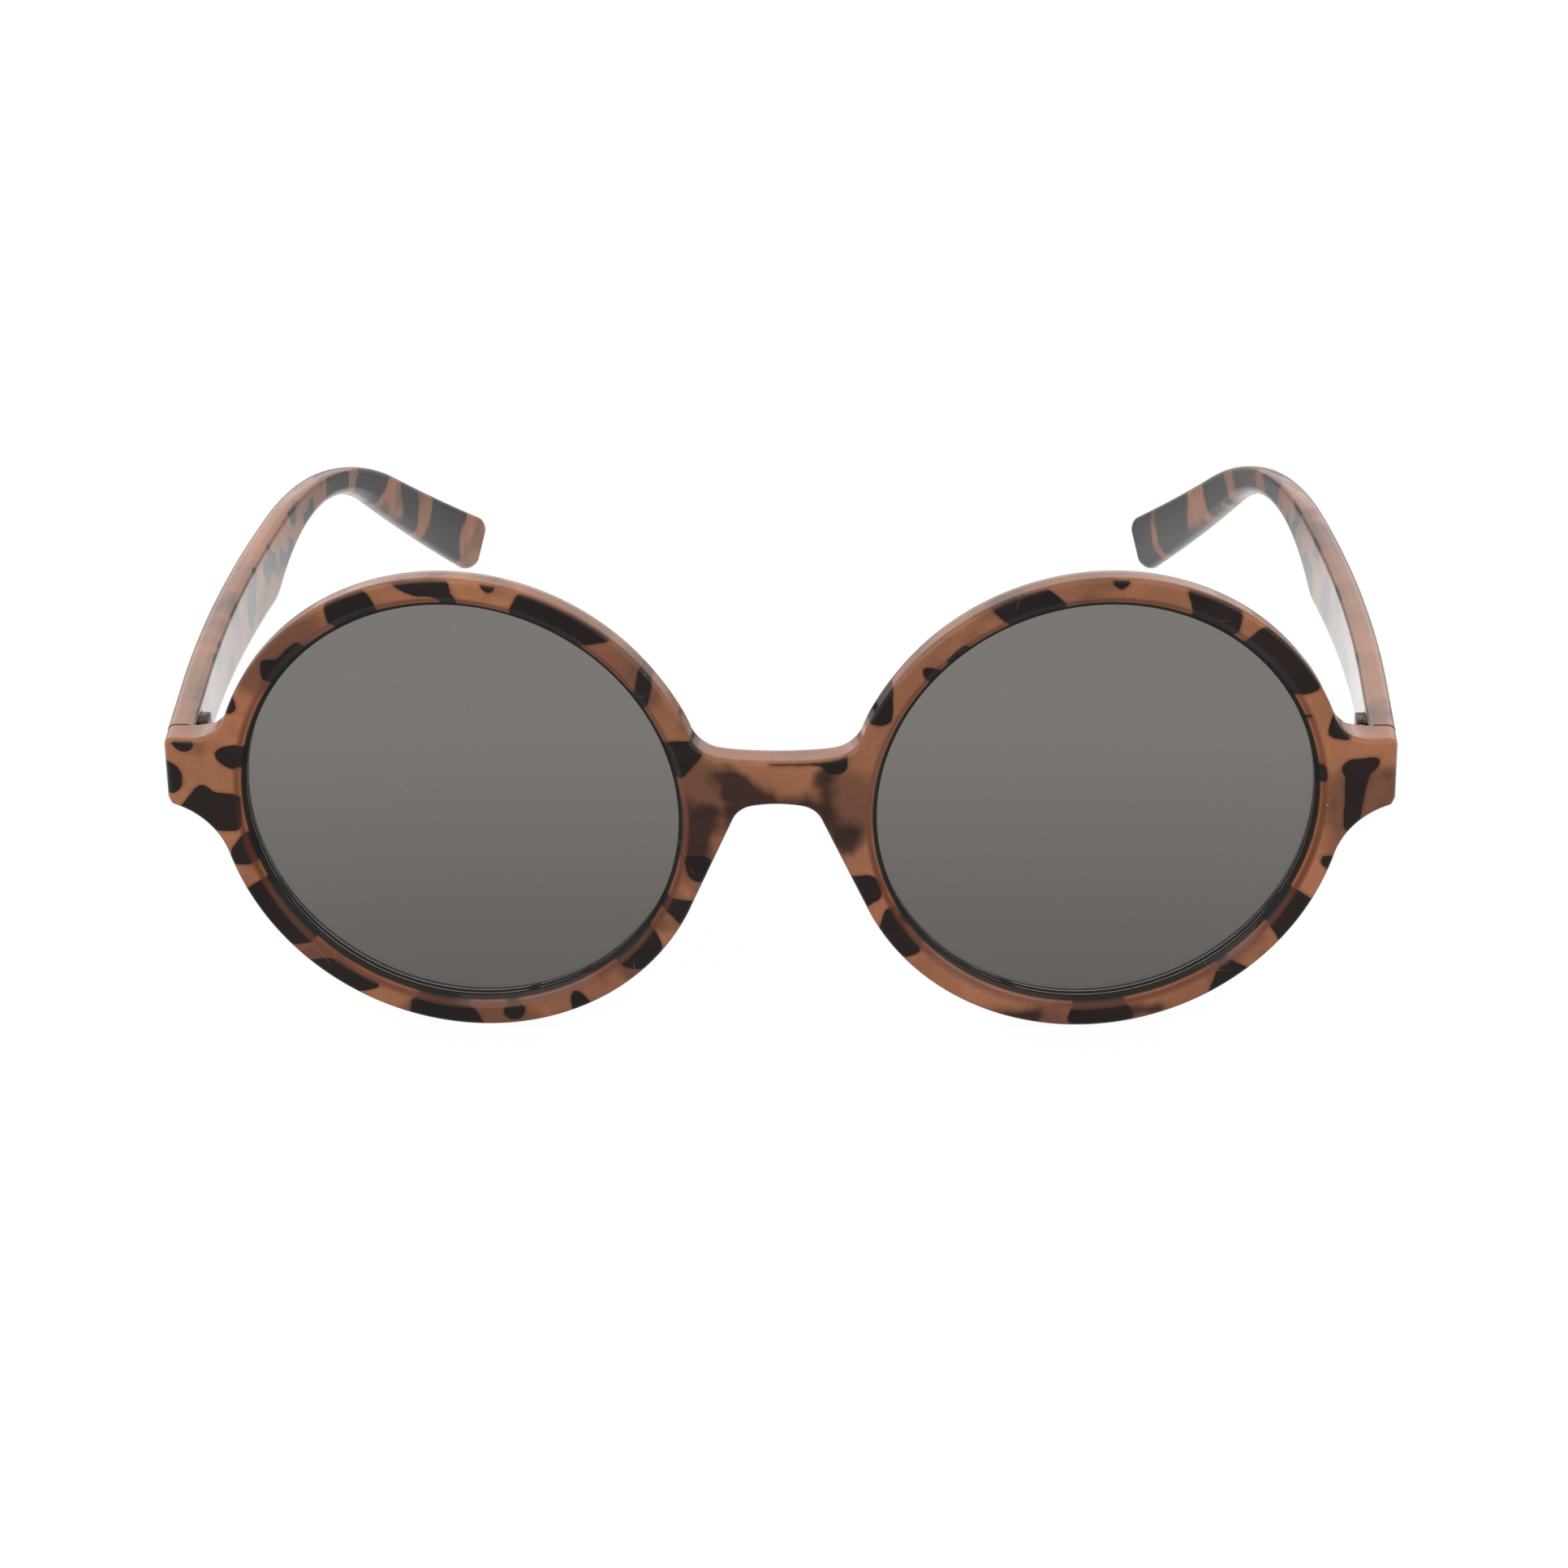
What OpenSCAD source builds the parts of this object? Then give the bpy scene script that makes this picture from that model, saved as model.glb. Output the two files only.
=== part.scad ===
// Round sunglasses, moulded plastic frame with two folding temples.
// Millimetres. +Z is up, the front faces -Y, the temples run back along +Y.
// The plane X = 0 is the mirror plane; left is -X and right is +X, as seen from the front.
// The glasses stand open on Z = 0, on both rims and both temple tips.

/* [Lenses] */
// Lens diameter at the tip of its edge bevel
lens_d = 52; // [48:0.5:54]
// Gap between the two lenses at the nose
lens_gap = 22; // [20:0.5:24]
// Lens thickness
lens_t = 1.8; // [1.6:0.1:2.2]
// Radius of the curved front of a lens
lens_curve = 220; // [130:10:400]
// Depth of the lens edge behind the face of the rim
lens_set = 1.15; // [0.9:0.05:1.2]
// Height of the edge bevel
lens_vee = 0.4; // [0.3:0.05:0.5]

/* [Front] */
// Width over the end pieces
front_w = 143.5; // [142:0.5:148]
// Front to back depth of a rim
rim_depth = 3.8; // [3.6:0.1:4.4]
// Width of a rim from the lens opening outwards
rim_w = 3.65; // [3.25:0.1:4.15]
// Width of the slope round the lens opening
rim_slope = 1.35; // [0.8:0.05:1.6]
// Rounding of the outer front edge of a rim
rim_round = 0.6; // [0.3:0.1:0.9]
// Angle each half of the front bends back from the bridge
wrap = 7.35; // [5:0.05:9]
// Tilt of the front, lower edge towards the face
tilt = 1.7; // [0:0.1:3]

/* [Bridge] */
// Half width of the flat middle of the bridge
bridge_flat = 5.5; // [4.5:0.5:6.5]
// Height of the saddle above the lens centres
bridge_top = 8; // [7.5:0.1:8.6]
// Radius of the saddle
saddle_r = 60; // [40:5:90]
// Radius where the saddle runs into a rim
saddle_fillet = 4.2; // [3.6:0.1:5]
// Height of the nose arch above the lens centres
arch_top = 2.45; // [1.5:0.05:3.5]
// Radius of the nose arch
arch_r = 16; // [12:0.5:24]
// Radius in the corners of the nose arch
arch_corner = 3; // [2:0.25:3.5]
// Angle of the nose sides from upright
flank = 23.5; // [20:0.5:26]

/* [Nose pads] */
// Thickness of a nose pad
pad_t = 2.6; // [2:0.1:3]
// Radius of the round outline of a pad
pad_r = 11; // [9:0.5:12]
// Reach of a pad behind the rim
pad_reach = 4.4; // [3:0.1:5]
// Height of the pad centre below the lens centres
pad_drop = 6; // [5:0.5:7]
// Angle the pads open towards the face
pad_splay = 22; // [15:1:28]

/* [End pieces] */
// Upper face of an end piece above the lens centres
end_top = 6.6; // [6.2:0.1:7.2]
// Height of an end piece
end_h = 8.95; // [8.6:0.05:9.6]
// Radius of the fillet above an end piece
end_fillet_top = 5; // [3:0.5:6]
// Radius of the fillet below an end piece
end_fillet_low = 4.8; // [3:0.2:5]
// Rounding of the outer corners
end_round = 1.1; // [0.6:0.1:1.3]
// Depth from the lens face plane to the joint with the temple
joint_y = 8; // [7.6:0.1:8.6]

/* [Temples] */
// Temple thickness at the hinge
temple_t = 3.2; // [2.8:0.1:3.6]
// Set back of a temple inside the end piece
temple_inset = 0; // [0:0.05:0.5]
// Radius of the inward bow seen from above
bow_r = 300; // [280:5:330]
// Distance from the front to the start of the bow
bow_start = 20; // [14:1:24]
// Distance by which the bow of the inner face starts later
bow_taper = 2.6; // [0:0.1:3]
// Height of a temple at the hinge
temple_h = 7.45; // [7.2:0.05:7.6]
// Distance from the front to the widest place
belly_y = 62; // [56:1:66]
// Height of the temple at the widest place
belly_h = 9.8; // [9:0.1:10.2]
// Distance from the front to the narrowest place
neck_y = 81; // [78:0.5:84]
// Height of the temple at the narrowest place
neck_h = 4.9; // [4.4:0.1:5.4]
// Radius of the hollow under the narrow place
neck_r = 36; // [32:1:42]
// Distance from the front to the start of the ear bend
ear_y = 70; // [68:0.5:73]
// Radius of the ear bend along the top
ear_r = 75; // [70:1:80]
// Downward angle of the upper edge of the tip
tip_angle = 34; // [32:0.5:35]
// Extra downward angle of the lower edge of the tip
tip_flare = 4.5; // [3.5:0.5:5.5]
// Rounding of the tip corners
tip_round = 2.6; // [1.5:0.1:3]

/* [Hinges] */
// Barrel diameter
barrel_d = 2.6; // [2.4:0.1:2.8]
// Height of the hinge
hinge_h = 5.9; // [5.2:0.1:6]
// Hinge pin distance behind the joint
pin_back = 1.6; // [1.5:0.1:1.8]
// Hinge pin distance inside the temple's inner face
pin_in = 0.9; // [0.7:0.1:1]
// Screw shank diameter
screw_d = 1.4; // [1.2:0.1:1.5]
// Screw head diameter
screw_head = 2; // [1.8:0.1:2.1]

/* [Hidden] */
$fn = 96;
eps = 0.01;
big = 200;
y_near = -10;
y_far = 12;

lip_gap = 0.05;
vee_gap = 0.1;
joint_gap = 0.15;
swing_gap = 0.2;
knuckle_gap = 0.12;
pin_gap = 0.03;
seat_gap = 0.03;

open_r = lens_d / 2 - lens_vee + lip_gap;
rim_r = open_r + rim_w;
lens_x = (lens_d + lens_gap) / 2;
end_low = end_top - end_h;
side_x = front_w / 2;

vee_land = 0.15;
vee_y = lens_set + lens_t / 2;
rear_chamfer = 0.3;
pad_root = 0.5;
end_cap = 1.45;
end_deep = 5.45;
rim_back_round = 0.4;

back_z = sin(tilt) * cos(wrap);
lens_z = (rim_r - rim_round) * sqrt(1 - back_z * back_z) + rim_round - rim_round * back_z;

nose_x = lens_x + rim_r * (1 - cos(wrap));
mid_y = -(lens_x - bridge_flat) * tan(wrap);

saddle_c = [0, bridge_top + saddle_r];
fillet_a = saddle_r - saddle_fillet;
fillet_b = rim_r + saddle_fillet;
fillet_c = norm([nose_x, saddle_c[1]]);
fillet_turn = acos((fillet_a * fillet_a + fillet_c * fillet_c - fillet_b * fillet_b)
    / (2 * fillet_a * fillet_c));
saddle_dir = atan2(-saddle_c[1], nose_x) - fillet_turn;
fillet_p = saddle_c + fillet_a * [cos(saddle_dir), sin(saddle_dir)];
fillet_rim = fillet_p + saddle_fillet * ([nose_x, 0] - fillet_p) / fillet_b;

flank_n = [cos(flank), sin(flank)];
flank_c = flank_n[0] * nose_x - rim_r;
arch_c = [0, arch_top - arch_r];
corner_reach = arch_r - arch_corner;
corner_dir = asin((flank_c - arch_corner - flank_n[1] * arch_c[1]) / corner_reach) - flank;
corner_p = arch_c + corner_reach * [sin(corner_dir), cos(corner_dir)];
flank_low = [nose_x, 0] - rim_r * flank_n;

top_turn = asin((end_top + end_fillet_top) / (rim_r + end_fillet_top));
top_p = (rim_r + end_fillet_top) * [cos(top_turn), sin(top_turn)];
low_turn = asin((end_low - end_fillet_low) / (rim_r + end_fillet_low));
low_p = (rim_r + end_fillet_low) * [cos(low_turn), sin(low_turn)];
end_split = side_x - end_cap;
end_back = side_x - end_deep;

crease_z = saddle_c[1] - sqrt(saddle_r * saddle_r - bridge_flat * bridge_flat);
front_min_y = mid_y * cos(tilt) - crease_z * sin(tilt);

temple_x = side_x - temple_inset;
inner_x = temple_x - temple_t;
temple_y = joint_y + joint_gap;
temple_z = end_top * cos(tilt) + joint_y * sin(tilt);

ear_end = [ear_y + ear_r * sin(tip_angle), temple_z - ear_r * (1 - cos(tip_angle))];
low_angle = tip_angle + tip_flare;
neck_z = temple_z - neck_h;
neck_c = [neck_y, neck_z - neck_r];
neck_end = neck_c + neck_r * [sin(low_angle), cos(low_angle)];
belly_round = 8;
belly_a = [temple_y, temple_z - temple_h];
belly_b = [belly_y, temple_z - belly_h];
belly_dir = (belly_b - belly_a) / norm(belly_b - belly_a);
belly_n = [-belly_dir[1], belly_dir[0]];
belly_s = (belly_a - neck_c) * belly_n + belly_round;
belly_t = -sqrt(pow(neck_r + belly_round, 2) - belly_s * belly_s);
belly_p = neck_c + belly_s * belly_n + belly_t * belly_dir;

tip_n_low = [-sin(low_angle), -cos(low_angle)];
tip_n_top = [sin(tip_angle), cos(tip_angle)];
tip_mean = (tip_angle + low_angle) / 2;
tip_n_end = [cos(tip_mean), -sin(tip_mean)];
tip_run = (neck_end[1] + tip_round * cos(low_angle) + lens_z - tip_round) / sin(low_angle);
tip_low = neck_end - tip_round * tip_n_low + tip_run * [cos(low_angle), -sin(low_angle)];
tip_s = tip_n_top * ear_end - tip_round;
tip_e = tip_n_end * tip_low;
tip_det = tip_n_top[0] * tip_n_end[1] - tip_n_top[1] * tip_n_end[0];
tip_top = [(tip_s * tip_n_end[1] - tip_n_top[1] * tip_e) / tip_det,
    (tip_n_top[0] * tip_e - tip_n_end[0] * tip_s) / tip_det];

shift_y = -(front_min_y + tip_top[0] + tip_round) / 2;

pin_x = inner_x - pin_in;
pin_y = joint_y + pin_back;
barrel_r = barrel_d / 2;
hinge_drop = 0.45;
hinge_z = temple_z - temple_h / 2 - hinge_drop;
hinge_low = hinge_z - hinge_h / 2;
knuckle_h = (hinge_h - 2 * knuckle_gap) / 3;
leaf_t = 1;
leaf_out = 1.1;
leaf_in = 0.7;
leaf_len = 3.6;
leaf_round = 1;
leaf_y = pin_y + barrel_r + swing_gap;
plate_w = 4.4;
web_w = 1.2;
head_h = 0.55;
slot_w = 0.35;
slot_h = 0.25;

tortoise = [0.52, 0.36, 0.27];
grey_lens = [0.3, 0.29, 0.28, 0.75];
bronze = [0.55, 0.46, 0.36];
steel = [0.72, 0.71, 0.7];

// Placing

// World space with the lens centres as height zero
module on_table() {
    translate([0, shift_y, lens_z]) children();
}

// Tilted space of the front
module front_space() {
    rotate([tilt, 0, 0]) children();
}

// Space of the right lens: face plane at Y = 0, lens centre at the origin
module lens_space() {
    front_space() translate([lens_x, 0, 0]) rotate([0, 0, wrap]) children();
}

module to_left() {
    mirror([1, 0, 0]) children();
}

// Outline drawn in X and Z, pushed through the whole depth of the front
module through_front() {
    translate([0, y_far, 0]) rotate([90, 0, 0]) linear_extrude(y_far - y_near) children();
}

// Outline drawn in Y and Z, pushed sideways along X
module along_x(x0, x1) {
    translate([x0, 0, 0]) rotate([90, 0, 90]) linear_extrude(x1 - x0) children();
}

// Section drawn in radius and depth, turned round the lens axis
module round_lens_axis() {
    rotate([-90, 0, 0]) rotate_extrude($fn = 180) children();
}

// What a rounding of radius r takes off a corner between two straight edges
module corner_waste(c, r, n1, n2) {
    tip = (n1 + n2) / (1 + n1 * n2);
    difference() {
        polygon([c, c + r * n1, c + 1.5 * r * tip, c + r * n2]);
        translate(c) circle(r);
    }
}

// Points on an arc round c, in n steps
function arc(c, r, from, to, n) =
    [for (i = [0:n]) c + r * [cos(from + (to - from) * i / n), sin(from + (to - from) * i / n)]];

// Front

module rim_section() {
    inner = open_r - rim_slope;
    difference() {
        translate([inner, 0]) square([rim_r - inner, rim_depth]);
        corner_waste([rim_r - rim_round, rim_round], rim_round, [1, 0], [0, -1]);
        corner_waste([rim_r - rim_back_round, rim_depth - rim_back_round],
            rim_back_round, [1, 0], [0, 1]);
    }
}

// Lens opening with its sloped face, the groove and the rear chamfer
module opening_section() {
    half = lens_t / 2 - vee_land;
    polygon([[0, -5], [open_r + rim_slope, -5], [open_r + rim_slope, 0],
        [open_r, lens_set - vee_land], [open_r, vee_y - half],
        [open_r + lens_vee - lip_gap + vee_gap, vee_y], [open_r, vee_y + half],
        [open_r, rim_depth - rear_chamfer], [open_r + rear_chamfer, rim_depth],
        [open_r + rear_chamfer, rim_depth + 6], [0, rim_depth + 6]]);
}

// Upper edge of the bridge: the saddle and the fillet into the right rim
module bridge_upper() {
    far = saddle_c + 2 * saddle_r * [cos(saddle_dir), sin(saddle_dir)];
    difference() {
        polygon([[-eps, flank_low[1]], [-eps, saddle_c[1]], fillet_p, fillet_rim,
            [fillet_rim[0] + 1, 0], [flank_low[0] + 1, flank_low[1]]]);
        intersection() {
            translate(saddle_c) circle(saddle_r);
            polygon([[-1, saddle_c[1]], saddle_c, far, [-1, far[1]]]);
        }
        translate(fillet_p) circle(saddle_fillet);
    }
}

// Right half of the gap for the nose
module nose_gap() {
    far = arch_c + 2 * arch_r * [sin(corner_dir), cos(corner_dir)];
    below = flank_low + 20 * [sin(flank), -cos(flank)];
    intersection() {
        translate(arch_c) circle(arch_r);
        polygon([[-1, arch_c[1]], arch_c, far, [-1, far[1]]]);
    }
    translate(corner_p) circle(arch_corner);
    polygon([[-1, arch_c[1]], arch_c, corner_p, corner_p + arch_corner * flank_n,
        below, [-1, below[1]]]);
}

module bridge_outline() {
    difference() {
        bridge_upper();
        nose_gap();
    }
}

// Right end piece with the fillets that run into the rim
module end_outline() {
    far = side_x - lens_x;
    difference() {
        polygon([[0, 0], rim_r / norm(top_p) * top_p, top_p, [top_p[0], end_top],
            [far, end_top], [far, end_low], [low_p[0], end_low], low_p,
            rim_r / norm(low_p) * low_p]);
        translate(top_p) circle(end_fillet_top);
        translate(low_p) circle(end_fillet_low);
    }
}

// Right half of the front seen from above
module front_plan() {
    corner = [side_x - end_round, (side_x - lens_x) * tan(wrap) + end_round / cos(wrap)
        - end_round * tan(wrap)];
    face_y = (side_x - lens_x) * tan(wrap);
    back_y = rim_depth / cos(wrap);
    n_face = [sin(wrap), -cos(wrap)];
    difference() {
        polygon([[-eps, mid_y], [bridge_flat, mid_y], [side_x, face_y],
            [side_x, joint_y + 1], [end_back, joint_y + 1],
            [end_back, (end_back - lens_x) * tan(wrap) + back_y],
            [bridge_flat, mid_y + back_y], [-eps, mid_y + back_y]]);
        corner_waste(corner, end_round, [1, 0], n_face);
    }
}

module right_half_solid() {
    lens_space() round_lens_axis() rim_section();
    front_space() intersection() {
        translate([0, 0, -big / 2]) linear_extrude(big) front_plan();
        union() {
            through_front() bridge_outline();
            intersection() {
                translate([lens_x, 0, 0]) rotate([0, 0, wrap]) through_front() end_outline();
                translate([0, -big / 2, -big / 2]) cube([end_split, big, big]);
            }
            through_front() end_block();
        }
    }
}

// Outer part of the end piece with its rounded corners
module end_block() {
    left = end_split - 1;
    difference() {
        translate([left, end_low]) square([side_x - left, end_h]);
        corner_waste([side_x - end_round, end_low + end_round], end_round, [1, 0], [0, -1]);
        corner_waste([side_x - end_round, end_top - end_round], end_round, [1, 0], [0, 1]);
    }
}

// Nose pad moulded on behind the right rim
module nose_pad() {
    mid = flank_c / flank_n[0] + pad_drop * tan(flank);
    back = (mid - lens_x) * tan(wrap) + rim_depth / cos(wrap);
    intersection() {
        front_space() translate([mid, back - pad_root, -pad_drop]) rotate([0, -flank, 0])
            rotate([0, 0, -pad_splay]) translate([pad_t / 2, pad_root + pad_reach - pad_r, 0])
            rotate([0, 90, 0]) rotate_extrude() pad_section();
        lens_space() translate([-big / 2, rim_depth - pad_root, -big / 2]) cube(big);
    }
}

module pad_section() {
    translate([0, -pad_t / 2]) square([pad_r - pad_t / 2, pad_t]);
    intersection() {
        translate([pad_r - pad_t / 2, 0]) circle(pad_t / 2);
        translate([0, -pad_t]) square([pad_r + 1, 2 * pad_t]);
    }
}

module right_front() {
    difference() {
        right_half_solid();
        lens_space() round_lens_axis() opening_section();
        translate([-1, joint_y, -big / 2]) cube([big, big, big]);
        front_leaf_seat();
    }
    nose_pad();
}

// Recess for the front hinge leaf
module front_leaf_seat() {
    translate([pin_x - plate_w / 2 - seat_gap, joint_y - leaf_t, hinge_low - seat_gap])
        cube([plate_w + 2 * seat_gap, leaf_t + 1, hinge_h + 2 * seat_gap]);
}

module front_frame() {
    color(tortoise) on_table() {
        right_front();
        to_left() right_front();
    }
}

// Lens

// Curved plate cut to a round with a bevelled edge
module right_lens() {
    edge_r = open_r - lip_gap;
    half = lens_t / 2 - vee_land - lip_gap;
    centre_y = lens_set + sqrt(lens_curve * lens_curve - open_r * open_r);
    lens_space() intersection() {
        difference() {
            translate([0, centre_y, 0]) sphere(lens_curve, $fn = 240);
            translate([0, centre_y, 0]) sphere(lens_curve - lens_t, $fn = 240);
        }
        round_lens_axis() polygon([[0, lens_set - 4], [edge_r, lens_set - 4],
            [edge_r, vee_y - half], [edge_r + lens_vee, vee_y], [edge_r, vee_y + half],
            [edge_r, lens_set + 4], [0, lens_set + 4]]);
    }
}

// Temple

// Side view of a temple, from the joint along the top to the tip and back below
module temple_side() {
    hollow_end = atan2(belly_p[1] - neck_c[1], belly_p[0] - neck_c[0]);
    polygon(concat([belly_a, [temple_y, temple_z]],
        arc([ear_y, temple_z - ear_r], ear_r, 90, 90 - tip_angle, 22),
        arc(tip_top, tip_round, 90 - tip_angle, -tip_mean, 9),
        arc(tip_low, tip_round, -tip_mean, -90 - low_angle, 9),
        arc(neck_c, neck_r, 90 - low_angle, hollow_end, 24),
        arc(belly_p, belly_round, hollow_end - 180, atan2(-belly_n[1], -belly_n[0]), 6)));
}

// Upright drum whose side is the bowed face of a temple
module bow_drum(x, y, grow) {
    translate([x - bow_r, y, -big / 2]) cylinder(r = bow_r, h = big + grow, $fn = 720);
}

// Room in the temple for the hinge barrel, and the seat of its own leaf
module temple_pocket() {
    room = barrel_r + swing_gap;
    translate([pin_x - room, temple_y - 1, hinge_low - swing_gap])
        cube([2 * room, pin_back - joint_gap + 1 + room, hinge_h + 2 * swing_gap]);
    translate([inner_x - leaf_out, leaf_y - eps, hinge_low - seat_gap])
        cube([leaf_out + leaf_in, leaf_len + eps + seat_gap, hinge_h + 2 * seat_gap]);
}

module right_temple() {
    difference() {
        intersection() {
            along_x(0, big / 2) temple_side();
            bow_drum(temple_x, bow_start, 0);
        }
        bow_drum(inner_x, bow_start + bow_taper, 1);
        temple_pocket();
    }
}

// Hinge

module barrel(low, high) {
    translate([pin_x, pin_y, low]) cylinder(r = barrel_r, h = high - low);
}

module screw_bore() {
    translate([pin_x, pin_y, hinge_low - 1])
        cylinder(d = screw_d + 2 * pin_gap, h = hinge_h + 2);
    translate([pin_x, pin_y, hinge_low + hinge_h - head_h])
        cylinder(d = screw_head + 2 * pin_gap, h = 1);
}

// Leaf let into the end piece, with the upper and the lower knuckle
module front_leaf() {
    high = hinge_low + hinge_h;
    difference() {
        union() {
            translate([pin_x - plate_w / 2, joint_y - leaf_t, hinge_low])
                cube([plate_w, leaf_t, hinge_h]);
            for (z = [hinge_low, high - knuckle_h]) {
                barrel(z, z + knuckle_h);
                translate([pin_x - web_w / 2, joint_y - eps, z])
                    cube([web_w, pin_back, knuckle_h]);
            }
        }
        screw_bore();
    }
}

// Leaf let into the temple, with the middle knuckle
module temple_leaf() {
    low = hinge_low + knuckle_h + knuckle_gap;
    high = low + knuckle_h;
    reach = leaf_y - pin_y;
    difference() {
        union() {
            barrel(low, high);
            translate([inner_x - leaf_out, pin_y, low]) cube([web_w, reach + eps, knuckle_h]);
            translate([inner_x - leaf_out, leaf_y, 0]) leaf_plate();
        }
        screw_bore();
    }
}

// Plate of the temple leaf with its rounded rear corners
module leaf_plate() {
    rear = leaf_len;
    high = hinge_low + hinge_h;
    rotate([90, 0, 90]) linear_extrude(leaf_out + leaf_in) difference() {
        translate([0, hinge_low]) square([rear, hinge_h]);
        corner_waste([rear - leaf_round, high - leaf_round], leaf_round, [1, 0], [0, 1]);
        corner_waste([rear - leaf_round, hinge_low + leaf_round], leaf_round, [1, 0], [0, -1]);
    }
}

module hinge_screw() {
    high = hinge_low + hinge_h;
    difference() {
        union() {
            translate([pin_x, pin_y, hinge_low]) cylinder(d = screw_d, h = hinge_h - eps);
            translate([pin_x, pin_y, high - head_h]) cylinder(d = screw_head, h = head_h);
        }
        translate([pin_x - slot_w / 2, pin_y - screw_head, high - slot_h])
            cube([slot_w, 2 * screw_head, 1]);
    }
}

front_frame();
color(grey_lens) on_table() to_left() right_lens();  // left_lens
color(grey_lens) on_table() right_lens();
color(tortoise) on_table() to_left() right_temple();  // left_temple
color(tortoise) on_table() right_temple();
color(bronze) on_table() to_left() front_leaf();  // left_front_leaf
color(bronze) on_table() front_leaf();  // right_front_leaf
color(bronze) on_table() to_left() temple_leaf();  // left_temple_leaf
color(bronze) on_table() temple_leaf();  // right_temple_leaf
color(steel) on_table() to_left() hinge_screw();  // left_hinge_screw
color(steel) on_table() hinge_screw();  // right_hinge_screw
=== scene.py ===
import math

import bmesh
import bpy
import numpy as np
from mathutils import Matrix, Vector


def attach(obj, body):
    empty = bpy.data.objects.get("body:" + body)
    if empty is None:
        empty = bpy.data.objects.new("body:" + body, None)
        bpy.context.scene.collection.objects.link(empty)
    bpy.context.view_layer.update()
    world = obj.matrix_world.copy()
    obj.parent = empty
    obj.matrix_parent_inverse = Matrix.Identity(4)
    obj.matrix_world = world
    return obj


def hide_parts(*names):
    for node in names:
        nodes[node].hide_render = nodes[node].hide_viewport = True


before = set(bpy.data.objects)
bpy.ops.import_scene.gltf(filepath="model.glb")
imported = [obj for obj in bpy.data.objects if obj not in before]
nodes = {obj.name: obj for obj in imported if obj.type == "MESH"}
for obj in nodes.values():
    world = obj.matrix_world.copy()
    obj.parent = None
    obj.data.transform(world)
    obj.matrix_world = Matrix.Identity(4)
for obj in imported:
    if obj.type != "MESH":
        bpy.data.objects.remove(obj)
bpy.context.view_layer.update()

# Sizes in millimetres, from the point midway between the lens centres

# lenses, rims and their place in the CAD frame
LENS_X = 37.0
LENS_Z = 29.27
SHIFT_Y = -66.7035
OPEN_R = 25.65
RIM_WIDTH = 3.65
RIM_R = OPEN_R + RIM_WIDTH
RIM_DEPTH = 3.8
RIM_SLOPE = 1.35
SLOPE_SHARE = 0.87
LENS_SET = 1.15
GROOVE = 0.5
WRAP = math.radians(7.35)
TILT = math.radians(1.7)

# bridge and nose arch
BRIDGE_FLAT = 5.5
BRIDGE_TOP = 8.0
SADDLE_R = 60.0
SADDLE_FILLET = 4.2
ARCH_TOP = 2.45
ARCH_R = 16.0
ARCH_CORNER = 3.0
FLANK = math.radians(23.5)

# nose pads
PAD_T = 2.2
PAD_EDGE = 0.45 * PAD_T
PAD_R = 11.0
PAD_REACH = 3.6
PAD_DROP = 6.0
PAD_SPLAY = math.radians(16)
PAD_ROOT = 0.5

# end pieces, up to the joint with the temples
SIDE_X = 71.75
END_TOP = 6.6
END_FILLET_TOP = 5.0
END_SLOPE = math.radians(17)
END_LOW = np.array([34.2, -2.2])
END_FILLET_LOW = 9.0
END_ROUND = 1.1
END_BACK = 66.3
JOINT_Y = 8.0
JOINT_GAP = 0.15

# rounding of the front's outer edges
FRONT_ROUND = 0.6
FRONT_ROUND_SIDE = 1.0
BACK_ROUND_BRIDGE = 0.9
BACK_ROUND_RIM = 1.8
BACK_ROUND_END = 0.6
BACK_ROUND_JOINT = 0.08

# temples
TEMPLE_T = 3.2
TEMPLE_H = 7.45
TEMPLE_EDGE = 0.95
TEMPLE_Y = JOINT_Y + JOINT_GAP
TEMPLE_Z = END_TOP * math.cos(TILT) + JOINT_Y * math.sin(TILT)
BOW_R = 300.0
BOW_START = 20.0
BOW_TAPER = 2.6
EAR_Y, EAR_R = 70.0, 75.0
TIP_ANGLE = math.radians(34)
LOW_ANGLE = math.radians(38)
NECK_R = 36.0
NECK_H = 5.4
NECK = np.array([81.5, TEMPLE_Z - NECK_H - NECK_R])
BELLY_H = 9.6
BELLY_A = np.array([TEMPLE_Y, TEMPLE_Z - TEMPLE_H])
BELLY_B = np.array([62.0, TEMPLE_Z - BELLY_H])
BELLY_ROUND = 8.0
TIP_ROUND = 2.6
TIP_CLEAR = 0.12
STATION = 0.4

# hinges, and the recesses that hold their leaves
PIN_INSET = 0.9
PIN_BACK = 1.6
PIN_X = SIDE_X - TEMPLE_T - PIN_INSET
PIN_Y = JOINT_Y + PIN_BACK
HINGE_H = 5.9
HINGE_DROP = 0.45
HINGE_LOW = TEMPLE_Z - TEMPLE_H / 2 - HINGE_DROP - HINGE_H / 2
LEAF_WIDTH = 4.4
LEAF_LENGTH = 3.6
LEAF_DEPTH = 0.7
LEAF_FIT = 0.03
KNUCKLE_ROOM = 1.5
KNUCKLE_GAP = 0.2
LEAF_EDGE, SCREW_EDGE = 0.12, 0.06


# Putting meshes together

def deselect():
    if bpy.context.object and bpy.context.object.mode != "OBJECT":
        bpy.ops.object.mode_set(mode="OBJECT")
    bpy.ops.object.select_all(action="DESELECT")


def pick(piece):
    deselect()
    bpy.context.view_layer.objects.active = piece
    piece.select_set(True)


def place_points(piece, points):
    """Moves all vertices of a piece to points in the CAD frame, given in mm."""
    piece.data.vertices.foreach_set("co", (np.asarray(points) * 0.001).ravel())
    piece.data.update()


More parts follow.
